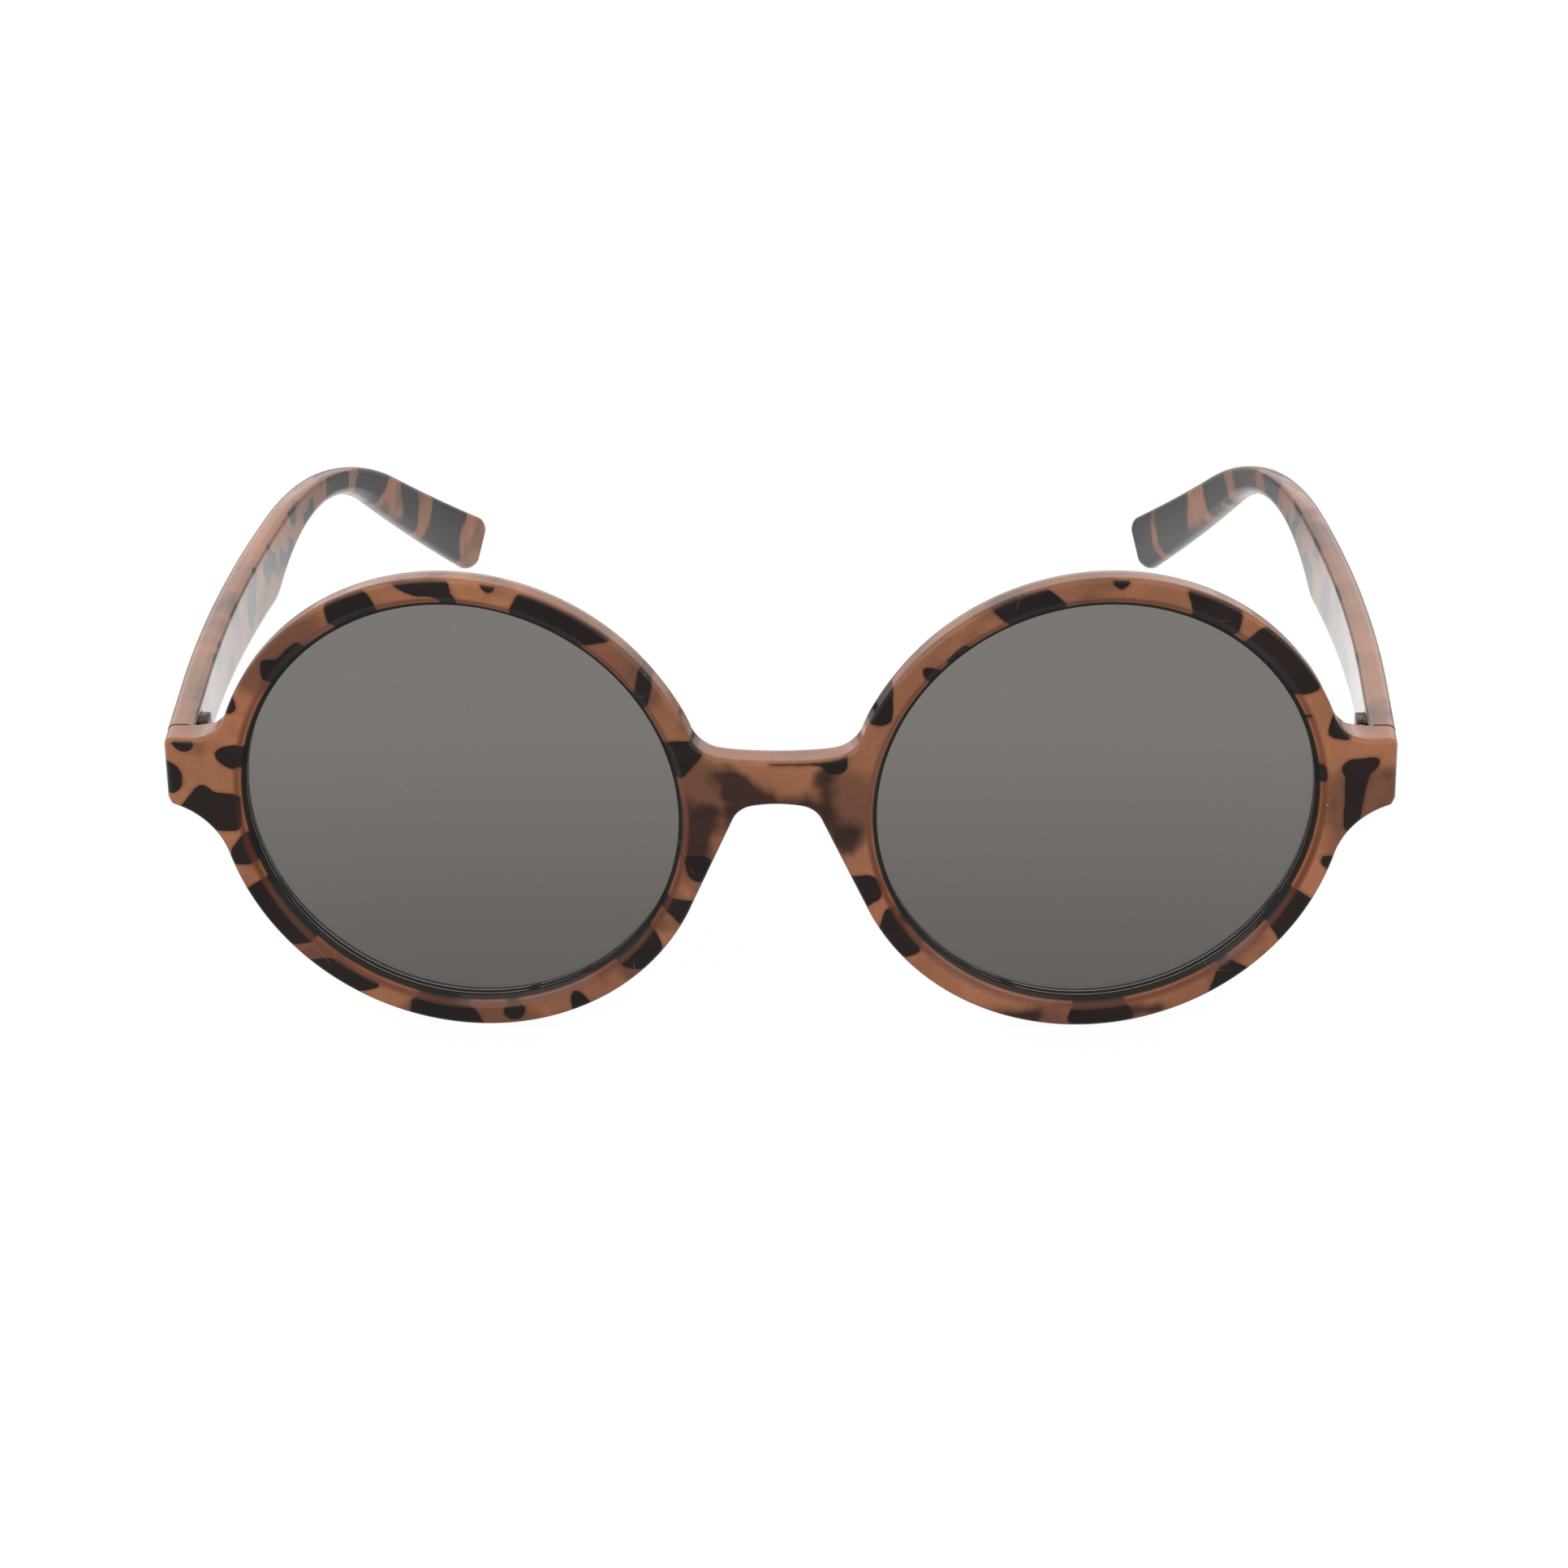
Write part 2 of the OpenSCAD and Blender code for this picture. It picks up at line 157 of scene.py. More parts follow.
def points_of(piece):
    """The vertices of a piece in mm, in the space of the lens centres."""
    flat = np.empty(len(piece.data.vertices) * 3)
    piece.data.vertices.foreach_get("co", flat)
    return flat.reshape(-1, 3) * 1000 - np.array([0, SHIFT_Y, LENS_Z])


def rolled_sheet(name, points):
    """A grid sheet shaped onto rows of points (rows, columns, 3), with its meeting edges welded."""
    rows, columns = points.shape[:2]
    deselect()
    bpy.ops.mesh.primitive_grid_add(x_subdivisions=columns - 1, y_subdivisions=rows - 1)
    piece = bpy.context.object
    piece.name = name
    place_points(piece, points.reshape(-1, 3))
    bpy.ops.object.mode_set(mode="EDIT")
    bpy.ops.mesh.select_all(action="SELECT")
    bpy.ops.mesh.remove_doubles(threshold=2e-6)
    bpy.ops.mesh.dissolve_degenerate(threshold=1e-7)
    bpy.ops.object.mode_set(mode="OBJECT")
    return piece


def face_outwards(piece):
    pick(piece)
    bpy.ops.object.mode_set(mode="EDIT")
    bpy.ops.mesh.select_all(action="SELECT")
    bpy.ops.mesh.normals_make_consistent(inside=False)
    bpy.ops.object.mode_set(mode="OBJECT")
    bpy.ops.object.shade_smooth_by_angle(angle=math.radians(40))


def apply_modifier(piece, kind, **settings):
    pick(piece)
    modifier = piece.modifiers.new(kind.title(), kind)
    for key, value in settings.items():
        setattr(modifier, key, value)
    bpy.ops.object.modifier_apply(modifier=modifier.name)


def block(low, high):
    """A box between two corners, in mm in the space of the lens centres."""
    low, high = np.array(low, float), np.array(high, float)
    deselect()
    bpy.ops.mesh.primitive_cube_add(size=1)
    tool = bpy.context.object
    corners = np.array([v.co for v in tool.data.vertices])
    place_points(tool, to_frame(low + (corners + 0.5) * (high - low)))
    return tool


def combine(piece, tool, operation):
    apply_modifier(piece, "BOOLEAN", object=tool, operation=operation, solver="EXACT")
    bpy.data.objects.remove(tool)


def mirrored(piece, name):
    """A copy of a piece on the other side, with its own mesh."""
    pick(piece)
    bpy.ops.object.duplicate()
    copy = bpy.context.object
    copy.name = name
    copy.data.name = name
    copy.data.transform(Matrix.Scale(-1, 4, (1, 0, 0)))
    copy.data.flip_normals()
    return copy


def to_frame(points):
    """From the space of the lens centres to the frame of the CAD part, in mm."""
    return np.asarray(points) + np.array([0, SHIFT_Y, LENS_Z])


def turned(points, a, b, angle):
    """Points turned by an angle from axis a towards axis b."""
    points = np.array(points, float)
    first, second = points[..., a].copy(), points[..., b].copy()
    points[..., a] = first * math.cos(angle) - second * math.sin(angle)
    points[..., b] = first * math.sin(angle) + second * math.cos(angle)
    return points


def step(x, low, high):
    t = np.clip((np.asarray(x, float) - low) / (high - low), 0, 1)
    return t * t * (3 - 2 * t)


# Outline of the front, right half, from the middle of the saddle over the rim to the nose arch

def arc_points(centre, radius, start, end, outward, spacing=0.36):
    """Points on an arc and their outward normals; outward is -1 where the circle is a hollow."""
    count = max(5, int(abs(end - start) * radius / spacing) + 1)
    turn = np.linspace(start, end, count)
    ray = np.stack([np.cos(turn), np.sin(turn)], 1)
    return np.asarray(centre) + radius * ray, outward * ray


def line_points(start, end, normal, spacing=0.36):
    start, end = np.asarray(start, float), np.asarray(end, float)
    count = max(3, int(np.linalg.norm(end - start) / spacing) + 1)
    t = np.linspace(0, 1, count)[:, None]
    return start + t * (end - start), np.tile(normal, (count, 1))


def front_outline():
    squeeze = math.cos(WRAP)
    nose_x = LENS_X + RIM_R * (1 - squeeze)
    saddle = np.array([0, BRIDGE_TOP + SADDLE_R])
    reach_a, reach_b = SADDLE_R - SADDLE_FILLET, RIM_R + SADDLE_FILLET
    away = math.hypot(nose_x, saddle[1])
    turn = math.acos((reach_a ** 2 + away ** 2 - reach_b ** 2) / (2 * reach_a * away))
    saddle_end = math.atan2(-saddle[1], nose_x) - turn
    fillet = saddle + reach_a * np.array([math.cos(saddle_end), math.sin(saddle_end)])
    to_rim = math.atan2(-fillet[1], nose_x - fillet[0])
    flank = np.array([math.cos(FLANK), math.sin(FLANK)])
    flank_c = flank[0] * nose_x - RIM_R
    arch = np.array([0, ARCH_TOP - ARCH_R])
    corner_reach = ARCH_R - ARCH_CORNER
    corner_dir = math.asin((flank_c - ARCH_CORNER - flank[1] * arch[1]) / corner_reach) - FLANK
    corner = arch + corner_reach * np.array([math.sin(corner_dir), math.cos(corner_dir)])
    top_turn = math.asin((END_TOP + END_FILLET_TOP) / (RIM_R + END_FILLET_TOP))
    top_c = (RIM_R + END_FILLET_TOP) * np.array([math.cos(top_turn), math.sin(top_turn)])
    end = (SIDE_X - LENS_X) / squeeze
    up = math.pi / 2

    # lower edge of the end piece, sloping down towards the rim
    below = np.array([math.sin(END_SLOPE), -math.cos(END_SLOPE)])
    reach = below @ END_LOW + END_FILLET_LOW
    run = math.sqrt((RIM_R + END_FILLET_LOW) ** 2 - reach ** 2)
    low_c = reach * below + run * np.array([-below[1], below[0]])
    edge_c = np.array([end - END_ROUND, 0])
    edge_c[1] = (edge_c[0] * below[0] - below @ END_LOW + END_ROUND) / -below[1]
    low_turn = math.atan2(low_c[1], low_c[0])

    saddle_side = [
        arc_points(saddle, SADDLE_R, -up, saddle_end, -1),
        arc_points(fillet, SADDLE_FILLET, saddle_end, to_rim, -1)]
    rim = [
        arc_points((0, 0), RIM_R, to_rim + math.pi, top_turn, 1),
        arc_points(top_c, END_FILLET_TOP, top_turn + math.pi, 1.5 * math.pi, -1),
        line_points((top_c[0], END_TOP), (end - END_ROUND, END_TOP), (0, 1)),
        arc_points((end - END_ROUND, END_TOP - END_ROUND), END_ROUND, up, 0, 1, 0.2),
        line_points((end, END_TOP - END_ROUND), (end, edge_c[1]), (1, 0)),
        arc_points(edge_c, END_ROUND, 0, END_SLOPE - up, 1, 0.2),
        line_points(edge_c + END_ROUND * below, low_c - END_FILLET_LOW * below, below, 0.1),
        arc_points(low_c, END_FILLET_LOW, END_SLOPE + up, low_turn + math.pi, -1),
        arc_points((0, 0), RIM_R, low_turn, -math.pi + FLANK, 1)]
    flank_low = np.array([nose_x, 0]) - RIM_R * flank
    nose = [
        line_points(flank_low, corner + ARCH_CORNER * flank, -flank),
        arc_points(corner, ARCH_CORNER, FLANK, up - corner_dir, -1),
        arc_points(arch, ARCH_R, up - corner_dir, up, -1)]
    for points, _ in rim:
        points[:, 0] = LENS_X + points[:, 0] * squeeze
    points, normals = [], []
    for part in saddle_side + rim + nose:
        first = 1 if points else 0
        points.extend(part[0][first:])
        normals.extend(part[1][first:])
    return np.array(points), np.array(normals)


def face_y(x):
    """Depth of the face: flat over the bridge, bent back on each side with a soft crease."""
    soft = 0.5
    over = (np.abs(x) - BRIDGE_FLAT) / soft
    bend = np.where(over > 30, over, np.log1p(np.exp(np.minimum(over, 30)))) * soft
    return math.tan(WRAP) * (bend - (LENS_X - BRIDGE_FLAT))


def back_y(x):
    plate = face_y(x) + RIM_DEPTH / math.cos(WRAP)
    return plate + (JOINT_Y - plate) * step(x, END_BACK - 0.5, END_BACK + 0.1)


def lens_ring(turn, radius, depth):
    """A point at a radius and depth on the lens axis, in the tilted space of the front."""
    x, z = radius * np.cos(turn), radius * np.sin(turn)
    return np.stack([LENS_X + x * math.cos(WRAP) - depth * math.sin(WRAP),
                     x * math.sin(WRAP) + depth * math.cos(WRAP), z + 0 * x], -1)


# rows across a face, round an edge and along a wall, and neighbours that an angle is averaged with
FACE_STEPS = 18
EDGE_STEPS = 6
WALL_STEPS = 8
EVEN_OUT = 9


def build_front_half():
    outline, normal = front_outline()
    x = outline[:, 0]
    side_round = FRONT_ROUND_SIDE - FRONT_ROUND
    round_front = FRONT_ROUND + side_round * step(x, SIDE_X - 0.5, SIDE_X - 0.05)
    # the rear edge is well rounded on the rims, less at the bridge, and square at the joint
    round_back = (BACK_ROUND_BRIDGE
                  + (BACK_ROUND_RIM - BACK_ROUND_BRIDGE) * step(x, 7, 14)
                  + (BACK_ROUND_END - BACK_ROUND_RIM) * step(x, 60, 65)
                  + (BACK_ROUND_JOINT - BACK_ROUND_END) * step(x, 66.5, 68.5))
    # the cut at the mirror plane: same column, walked straight up from the arch to the saddle
    low, high = ARCH_TOP + BACK_ROUND_BRIDGE, BRIDGE_TOP - BACK_ROUND_BRIDGE
    cut = np.stack([np.zeros(16), np.linspace(low, high, 16)], 1)[1:-1]
    base = np.concatenate([outline, cut])
    normal = np.concatenate([normal, np.zeros_like(cut)])
    edge_f = np.concatenate([round_front, np.zeros(len(cut))])
    edge_b = np.concatenate([round_back, np.zeros(len(cut))])

    # the wall is square to the turned rim, and runs straight back at the bridge and the joint
    side = step(base[:, 0], BRIDGE_FLAT, BRIDGE_FLAT + 6) * (1 - step(base[:, 0], 66, 70)) * WRAP
    wall = np.stack([-np.sin(side), np.cos(side)], 1)
    start_y = face_y(base[:, 0])
    depth = (back_y(base[:, 0] + wall[:, 0] * RIM_DEPTH) - start_y) / wall[:, 1]
    turn = np.unwrap(np.arctan2(base[:, 1], (base[:, 0] - LENS_X) / math.cos(WRAP)))
    # evened out along the outline, so that no rows crowd together
    lap = np.concatenate([turn[-EVEN_OUT:] + 2 * math.pi, turn, turn[:EVEN_OUT] - 2 * math.pi])
    turn = np.convolve(lap, np.ones(2 * EVEN_OUT + 1) / (2 * EVEN_OUT + 1), "valid")

    def shell(inset, drop, from_face):
        """Outline drawn in by an inset, at a drop behind the face."""
        xz = base - normal * inset[:, None]
        y = face_y(xz[:, 0]) if from_face else start_y
        return np.stack([xz[:, 0] + wall[:, 0] * drop, y + wall[:, 1] * drop, xz[:, 1]], 1)

    columns = []
    # radius and depth through the opening: rear edge, groove that holds the lens, slope in front
    opening = [(OPEN_R + 0.3, RIM_DEPTH), (OPEN_R + 0.08, RIM_DEPTH - 0.12),
               (OPEN_R, RIM_DEPTH - 0.35), (OPEN_R, 3.2), (OPEN_R, 2.8),
               (OPEN_R + GROOVE, 2.1), (OPEN_R + GROOVE, 2.0),
               (OPEN_R, 1.3), (OPEN_R, 1.06), (OPEN_R + 0.03, 0.99)]
    opening += [(OPEN_R + RIM_SLOPE * t, LENS_SET * (1 - t) * SLOPE_SHARE)
                for t in (0.1, 0.2, 0.28, 0.36, 0.44, 0.52, 0.6, 0.7, 0.8, 0.92)]
    opening += [(OPEN_R + RIM_SLOPE + 0.02, 0.02), (OPEN_R + RIM_SLOPE + 0.12, 0.0)]
    for radius, drop in opening:
        columns.append(lens_ring(turn, radius, drop))
    inner, outer = columns[-1], shell(edge_f, 0 * edge_f, True)
    for t in np.arange(1, FACE_STEPS + 1) / FACE_STEPS:
        face = inner + t * (outer - inner)
        face[:, 1] = face_y(face[:, 0])
        columns.append(face)
    quarter = math.pi / 2 * np.arange(1, EDGE_STEPS + 1) / EDGE_STEPS
    for a in quarter:
        columns.append(shell(edge_f * (1 - math.sin(a)), edge_f * (1 - math.cos(a)), True))
    for t in np.arange(1, WALL_STEPS + 1) / WALL_STEPS:
        columns.append(shell(0 * edge_f, edge_f + t * (depth - edge_f - edge_b), False))
    for a in quarter:
        columns.append(shell(edge_b * (1 - math.cos(a)), depth - edge_b * (1 - math.sin(a)), False))
    outer, inner = columns[-1], lens_ring(turn, OPEN_R + 0.3, RIM_DEPTH)
    for t in np.arange(1, FACE_STEPS + 1) / FACE_STEPS:
        back = outer + t * (inner - outer)
        if t < 1:
            back[:, 1] = back_y(back[:, 0])
        columns.append(back)
    sheet = np.stack(columns, 1)
    sheet = np.concatenate([sheet, sheet[:1]])
    return to_frame(turned(sheet, 1, 2, TILT))


def nose_pad():
    """Rounded pad moulded on behind the right rim, beside the nose."""
    deselect()
    bpy.ops.mesh.primitive_cylinder_add(vertices=120, radius=1, depth=2)
    pad = bpy.context.object
    bpy.ops.object.mode_set(mode="EDIT")
    bpy.ops.mesh.select_all(action="SELECT")
    bpy.ops.mesh.inset(thickness=0.2)
    bpy.ops.object.mode_set(mode="OBJECT")
    raw = np.array([v.co for v in pad.data.vertices])
    thin = PAD_T / 2 * raw[:, 2]
    disc = np.stack([thin, PAD_R * raw[:, 0], PAD_R * raw[:, 1]], 1)
    place_points(pad, disc)
    apply_modifier(pad, "BEVEL", width=PAD_EDGE * 0.001, segments=6, limit_method="ANGLE",
                   angle_limit=math.radians(60))
    disc = np.array([v.co for v in pad.data.vertices]) * 1000
    squeeze = math.cos(WRAP)
    nose_x = LENS_X + RIM_R * (1 - squeeze)
    middle = nose_x - RIM_R / math.cos(FLANK) + PAD_DROP * math.tan(FLANK)
    disc += np.array([PAD_T / 2, PAD_ROOT + PAD_REACH - PAD_R, 0])
    disc = turned(turned(disc, 0, 1, -PAD_SPLAY), 2, 0, -FLANK)
    behind = (middle - LENS_X) * math.tan(WRAP) + RIM_DEPTH / squeeze - PAD_ROOT
    disc += np.array([middle, behind, -PAD_DROP])
    place_points(pad, to_frame(turned(disc, 1, 2, TILT)))
    pick(pad)
    bpy.ops.object.mode_set(mode="EDIT")
    bpy.ops.mesh.select_all(action="SELECT")
    bpy.ops.mesh.normals_make_consistent(inside=False)
    # only the part behind the rim is kept
    plane = turned([-math.sin(WRAP), math.cos(WRAP), 0], 1, 2, TILT)
    seat = lens_ring(np.array(math.pi), 10.0, RIM_DEPTH - PAD_ROOT)
    seat = to_frame(turned(seat, 1, 2, TILT)) * 0.001
    bpy.ops.mesh.bisect(plane_co=tuple(seat), plane_no=tuple(plane),
                        clear_inner=True, use_fill=True)
    bpy.ops.object.mode_set(mode="OBJECT")
    return pad


def build_front():
    half = rolled_sheet("front", build_front_half())
    pick(half)
    mesh = bmesh.new()
    mesh.from_mesh(half.data)
    inside = [f for f in mesh.faces if all(abs(v.co.x) < 1e-6 for v in f.verts)]
    bmesh.ops.delete(mesh, geom=inside, context="FACES")
    mesh.to_mesh(half.data)
    mesh.free()
    apply_modifier(half, "MIRROR", use_axis=(True, False, False), merge_threshold=2e-6)
    face_outwards(half)
    pad = nose_pad()
    combine(half, mirrored(pad, "other_pad"), "UNION")
    combine(half, pad, "UNION")
    reach = LEAF_WIDTH / 2 + LEAF_FIT
    for x in (-PIN_X, PIN_X):
        recess = block((x - reach, JOINT_Y - 1, HINGE_LOW - LEAF_FIT),
                       (x + reach, JOINT_Y + 1, HINGE_LOW + HINGE_H + LEAF_FIT))
        combine(half, recess, "DIFFERENCE")
    face_outwards(half)
    return half


# Temples

def bow(y, later):
    """How far a face of a temple has bent inwards; the inner face starts later, so it thins."""
    over = np.maximum(0.0, y - BOW_START - later)
    return BOW_R - np.sqrt(BOW_R ** 2 - over ** 2)


def side_profile():
    """Points of a temple's top edge in Y and Z, the points below them, and the edge's slope."""
    up = math.pi / 2
    flat = np.arange(TEMPLE_Y, EAR_Y, 0.5)
    upper = [(y, TEMPLE_Z) for y in flat]
    direction = [0.0] * len(flat)
    for a in np.arange(0, TIP_ANGLE, 0.5 / EAR_R):
        upper.append((EAR_Y + EAR_R * math.sin(a), TEMPLE_Z - EAR_R * (1 - math.cos(a))))
        direction.append(a)
    last = np.array([EAR_Y + EAR_R * math.sin(TIP_ANGLE),
                     TEMPLE_Z - EAR_R * (1 - math.cos(TIP_ANGLE))])
    for s in np.arange(0, 60, 0.5):
        upper.append(last + s * np.array([math.cos(TIP_ANGLE), -math.sin(TIP_ANGLE)]))
        direction.append(TIP_ANGLE)
    upper, direction = np.array(upper), np.array(direction)

    along = (BELLY_B - BELLY_A) / np.linalg.norm(BELLY_B - BELLY_A)
    across = np.array([-along[1], along[0]])
    s = (BELLY_A - NECK) @ across + BELLY_ROUND
    belly = NECK + s * across - math.sqrt((NECK_R + BELLY_ROUND) ** 2 - s * s) * along
    hollow = math.atan2(belly[1] - NECK[1], belly[0] - NECK[0])
    a = np.linspace(math.atan2(-across[1], -across[0]), hollow - math.pi, 20)
    lower = [BELLY_A] + [belly + BELLY_ROUND * np.array([math.cos(t), math.sin(t)]) for t in a]
    lower += [NECK + NECK_R * np.array([math.cos(t), math.sin(t)])
              for t in np.linspace(hollow, up - LOW_ANGLE, 60)]
    lower.append(lower[-1] + 80 * np.array([math.cos(LOW_ANGLE), -math.sin(LOW_ANGLE)]))
    lower = np.array(lower)
    fine = np.concatenate([[0], np.cumsum(np.linalg.norm(np.diff(lower, axis=0), axis=1))])
    s = np.arange(0, fine[-1], 0.05)
    lower = np.stack([np.interp(s, fine, lower[:, 0]), np.interp(s, fine, lower[:, 1])], 1)
    feet = []
    for point, a in zip(upper, direction):
        ahead = (lower - point) @ np.array([math.cos(a), -math.sin(a)])
        feet.append(lower[np.argmin(np.abs(ahead))])
    return upper, np.array(feet), direction


def section_path(high):
    """Once round a temple section.

    Gives the share of the way to the inner face, the shift along X and the distance down."""
    r = TEMPLE_EDGE
    turn = np.linspace(0, math.pi / 2, 6)
    inset, rise = r - r * np.cos(turn), r - r * np.sin(turn)
    side = np.linspace(r, high - r, 24)[1:-1]
    over = np.linspace(0, 1, 6)[1:-1]
    parts = [(0 * turn, -inset[::-1], rise[::-1]), (0 * side, 0 * side, side),
             (0 * turn, -inset, high - rise), (over, -r * (1 - 2 * over), high + 0 * over),
             (0 * turn + 1, inset[::-1], high - rise[::-1]), (0 * side + 1, 0 * side, side[::-1]),
             (0 * turn + 1, inset, rise), (1 - over, r * (1 - 2 * over), 0 * over)]
    path = np.concatenate([np.stack(part, 1) for part in parts])
    return np.concatenate([path, path[:1]])


def build_temple():
    upper, lower, direction = side_profile()
    reach = np.concatenate([[0], np.cumsum(np.linalg.norm(np.diff(upper, axis=0), axis=1))])
    # the tip ends where its rounded lower corner comes down to the table
    rise = lower[:, 1] + TIP_ROUND * math.cos(LOW_ANGLE) + LENS_Z - TIP_ROUND
    tip = np.array(direction) > TIP_ANGLE - 1e-9
    end = np.interp(-TIP_CLEAR, -rise[tip], reach[tip]) + TIP_ROUND

    # distance along the top edge, and scale of the section there
    stations = [(0.0, 0.0), (0.0, 0.6), (0.0, 0.97), (0.03, 1.0)]
    stations += [(s, 1.0) for s in np.arange(STATION, end - TIP_ROUND, STATION)]
    stations += [(end - TIP_ROUND * (1 - math.sin(a)), 1.0)
                 for a in np.linspace(0, math.pi / 2, 14)]
    rings = []
    for s, scale in stations + [(end, 0.5), (end, 0.0)]:
        top = np.array([np.interp(s, reach, upper[:, k]) for k in (0, 1)])
        foot = np.array([np.interp(s, reach, lower[:, k]) for k in (0, 1)])
        left = max(0.0, TIP_ROUND - (end - s))
        cut = TIP_ROUND - math.sqrt(max(0.0, TIP_ROUND ** 2 - left ** 2))
        way = (foot - top) / np.linalg.norm(foot - top)
        top, foot = top + way * cut, foot - way * cut
        thin = min(TEMPLE_EDGE, max(0.0, TEMPLE_EDGE - (end - s)))
        trim = TEMPLE_EDGE - math.sqrt(max(0.0, TEMPLE_EDGE ** 2 - thin ** 2))
        high = np.linalg.norm(foot - top)
        share, shift, down = section_path(high).T
        down = high / 2 + (down - high / 2) * scale
        y, z = (top + way * down[:, None]).T
        outer = SIDE_X - bow(y, 0) - trim
        inner = SIDE_X - TEMPLE_T - bow(y, BOW_TAPER) + trim
        shift = shift * np.minimum(1, (outer - inner) / (2.2 * TEMPLE_EDGE))
        x, middle = outer + share * (inner - outer) + shift, (outer + inner) / 2
        rings.append(np.stack([middle + (x - middle) * scale, y, z], 1))
    return to_frame(np.array(rings))


def temple_pair():
    right = rolled_sheet("right_arm_plastic", build_temple())
    face_outwards(right)
    top = HINGE_LOW + HINGE_H
    knuckles = block((PIN_X - KNUCKLE_ROOM, TEMPLE_Y - 1, HINGE_LOW - KNUCKLE_GAP),
                     (PIN_X + KNUCKLE_ROOM, PIN_Y + KNUCKLE_ROOM, top + KNUCKLE_GAP))
    combine(right, knuckles, "DIFFERENCE")
    inner, start = SIDE_X - TEMPLE_T, PIN_Y + KNUCKLE_ROOM
    leaf = block((inner - 1.1, start - 0.01, HINGE_LOW - LEAF_FIT),
                 (inner + LEAF_DEPTH, start + LEAF_LENGTH + LEAF_FIT, top + LEAF_FIT))
    combine(right, leaf, "DIFFERENCE")
    left = mirrored(right, "left_arm_plastic")
    for piece in (left, right):
        face_outwards(piece)
    return left, right


def eased(name, width):
    """A copy of a hinge part with its sharp edges broken."""
    piece = bpy.data.objects.new(name + "_eased", nodes[name].data.copy())
    bpy.context.scene.collection.objects.link(piece)
    pick(piece)
    bpy.ops.object.mode_set(mode="EDIT")
    bpy.ops.mesh.select_all(action="SELECT")
    bpy.ops.mesh.remove_doubles(threshold=1e-6)
    bpy.ops.mesh.dissolve_limited(angle_limit=math.radians(1))
    bpy.ops.object.mode_set(mode="OBJECT")
    apply_modifier(piece, "BEVEL", width=width * 0.001, segments=2, limit_method="ANGLE",
                   angle_limit=math.radians(50))
    face_outwards(piece)
    return piece


# Pattern of the plastic, and the masks for light painted on it

# A spot on a rim is given by two angles at its outer edge, two at its inner edge, and its inner and
# outer radius round the lens centre; 0 degrees points away from the nose. A spot on an end piece or
# the bridge is given the same way by distance from the lens centre and height, one on a temple by
# the distance along the top edge and the distance down from it.

NO_SPOT = 3.0
MELT = 0.5
TEMPLE_SOFTNESS = 0.34

RIM_SPOTS = {
    "left": [
        (-160, -151, -157, -154, 26, 30.5), (-144.5, -136, -148, -132, 26.3, 29.3),
        (-121, -114.5, -119.5, -117, 26.7, 30), (-103.5, -99, -105, -98.5, 26.6, 28.7),
        (-94.5, -76, -91, -75, 26.6, 30), (-61, -48, -68, -52, 26.8, 29.8),
        (-42, -26.5, -47, -24.5, 26.2, 30), (-19.5, -16.5, -20.5, -10.5, 26.2, 29.4),
        (8.5, 11.5, 6, 14.3, 26.4, 29.5), (20.5, 27.5, 21.5, 24.5, 28.1, 31),
        (37, 38.5, 32.5, 42, 26.4, 28.8), (39, 48, 39, 48.5, 26.4, 27.4),
        (59.5, 70, 57.5, 71.5, 26.4, 29.6), (75.5, 89.5, 80.5, 91, 27.2, 29.6),
        (85, 91, 88, 92, 26.3, 27.7), (96.5, 101, 98, 100, 28.3, 29.6),
        (106, 130, 104.5, 123.5, 26, 29.6), (137, 141.5, 143, 148.5, 26, 29.7),
        (160, 162, 157, 169, 26.3, 30.8)],
    "right": [
        (-167, -157, -165, -158, 26.8, 31), (-150, -141.5, -156, -139, 26.7, 29.8),
        (-97, -80, -96, -82, 26.2, 29), (-64, -50.5, -56, -53.5, 26.2, 29.8),
        (-42, -28.5, -39, -27.5, 26, 30), (-21, -17, -19, -18, 27.8, 30),
        (3.5, 8, 1.5, 10.5, 25.9, 26.95), (13, 24, 15, 17.5, 27.7, 30.5),
        (22, 23.2, 21.2, 24.2, 25.8, 26.9),
        (27.5, 50, 30, 51, 26, 29.4), (56, 71, 53, 65.5, 26, 29.4), (83, 88, 84.8, 86, 27.9, 29.2),
        (103, 116, 97.5, 113.5, 26.1, 29.8), (125, 129, 125, 135, 26.3, 27),
        (136, 137, 133.5, 139, 26.3, 28.2),
        (141.5, 155, 150.5, 153.5, 27.2, 30.2)]}
FLAT_SPOTS = {
    "left": [
        (26.3, 31.9, 26.3, 35.5, -5.1, 0), (29.7, 31.7, 29, 32.2, -1.5, 0.8),
        (33.8, 40, 32.6, 40, 1.2, 3.7),
        (32.7, 40, 33.8, 40, -0.6, 1.4), (31.2, 34.4, 31.9, 33.3, 5.1, 6.5),
        (-29.8, -26, -29, -27, -7.9, -4.4), (-40, -36.2, -40, -36.2, 7.65, 9)],
    "right": [
        (28.7, 33.4, 28.3, 32.2, 2.3, 4.5), (28.9, 31.9, 28.9, 30.6, -5.2, 3.2),
        (-40, -31, -40, -31, 7.65, 9.6), (-32.2, -28.9, -31.8, -29.2, 6.4, 9.6),
        (26.4, 28.2, 27.3, 27.8, -10.3, -8.2)]}
FLAT_STAINS = {
    "left": [
        (-33.2, -30.2, -38, -30.4, 1.8, 7.9), (-31.2, -26.1, -29.3, -26.1, -5.8, 2.8),
        (-44, -30.6, -44, -30.6, -1, 4.2)],
    "right": [
        (-32.4, -26.8, -31, -26.8, -4.1, 0), (-32.8, -30.4, -32.8, -30.4, -1.4, 7.2),
        (-44, -31.4, -44, -31, -1, 3.9),
        (-22.5, -6, -21, -7, -29, -26.4), (3, 9, 3, 9, -28.5, -26.5)]}
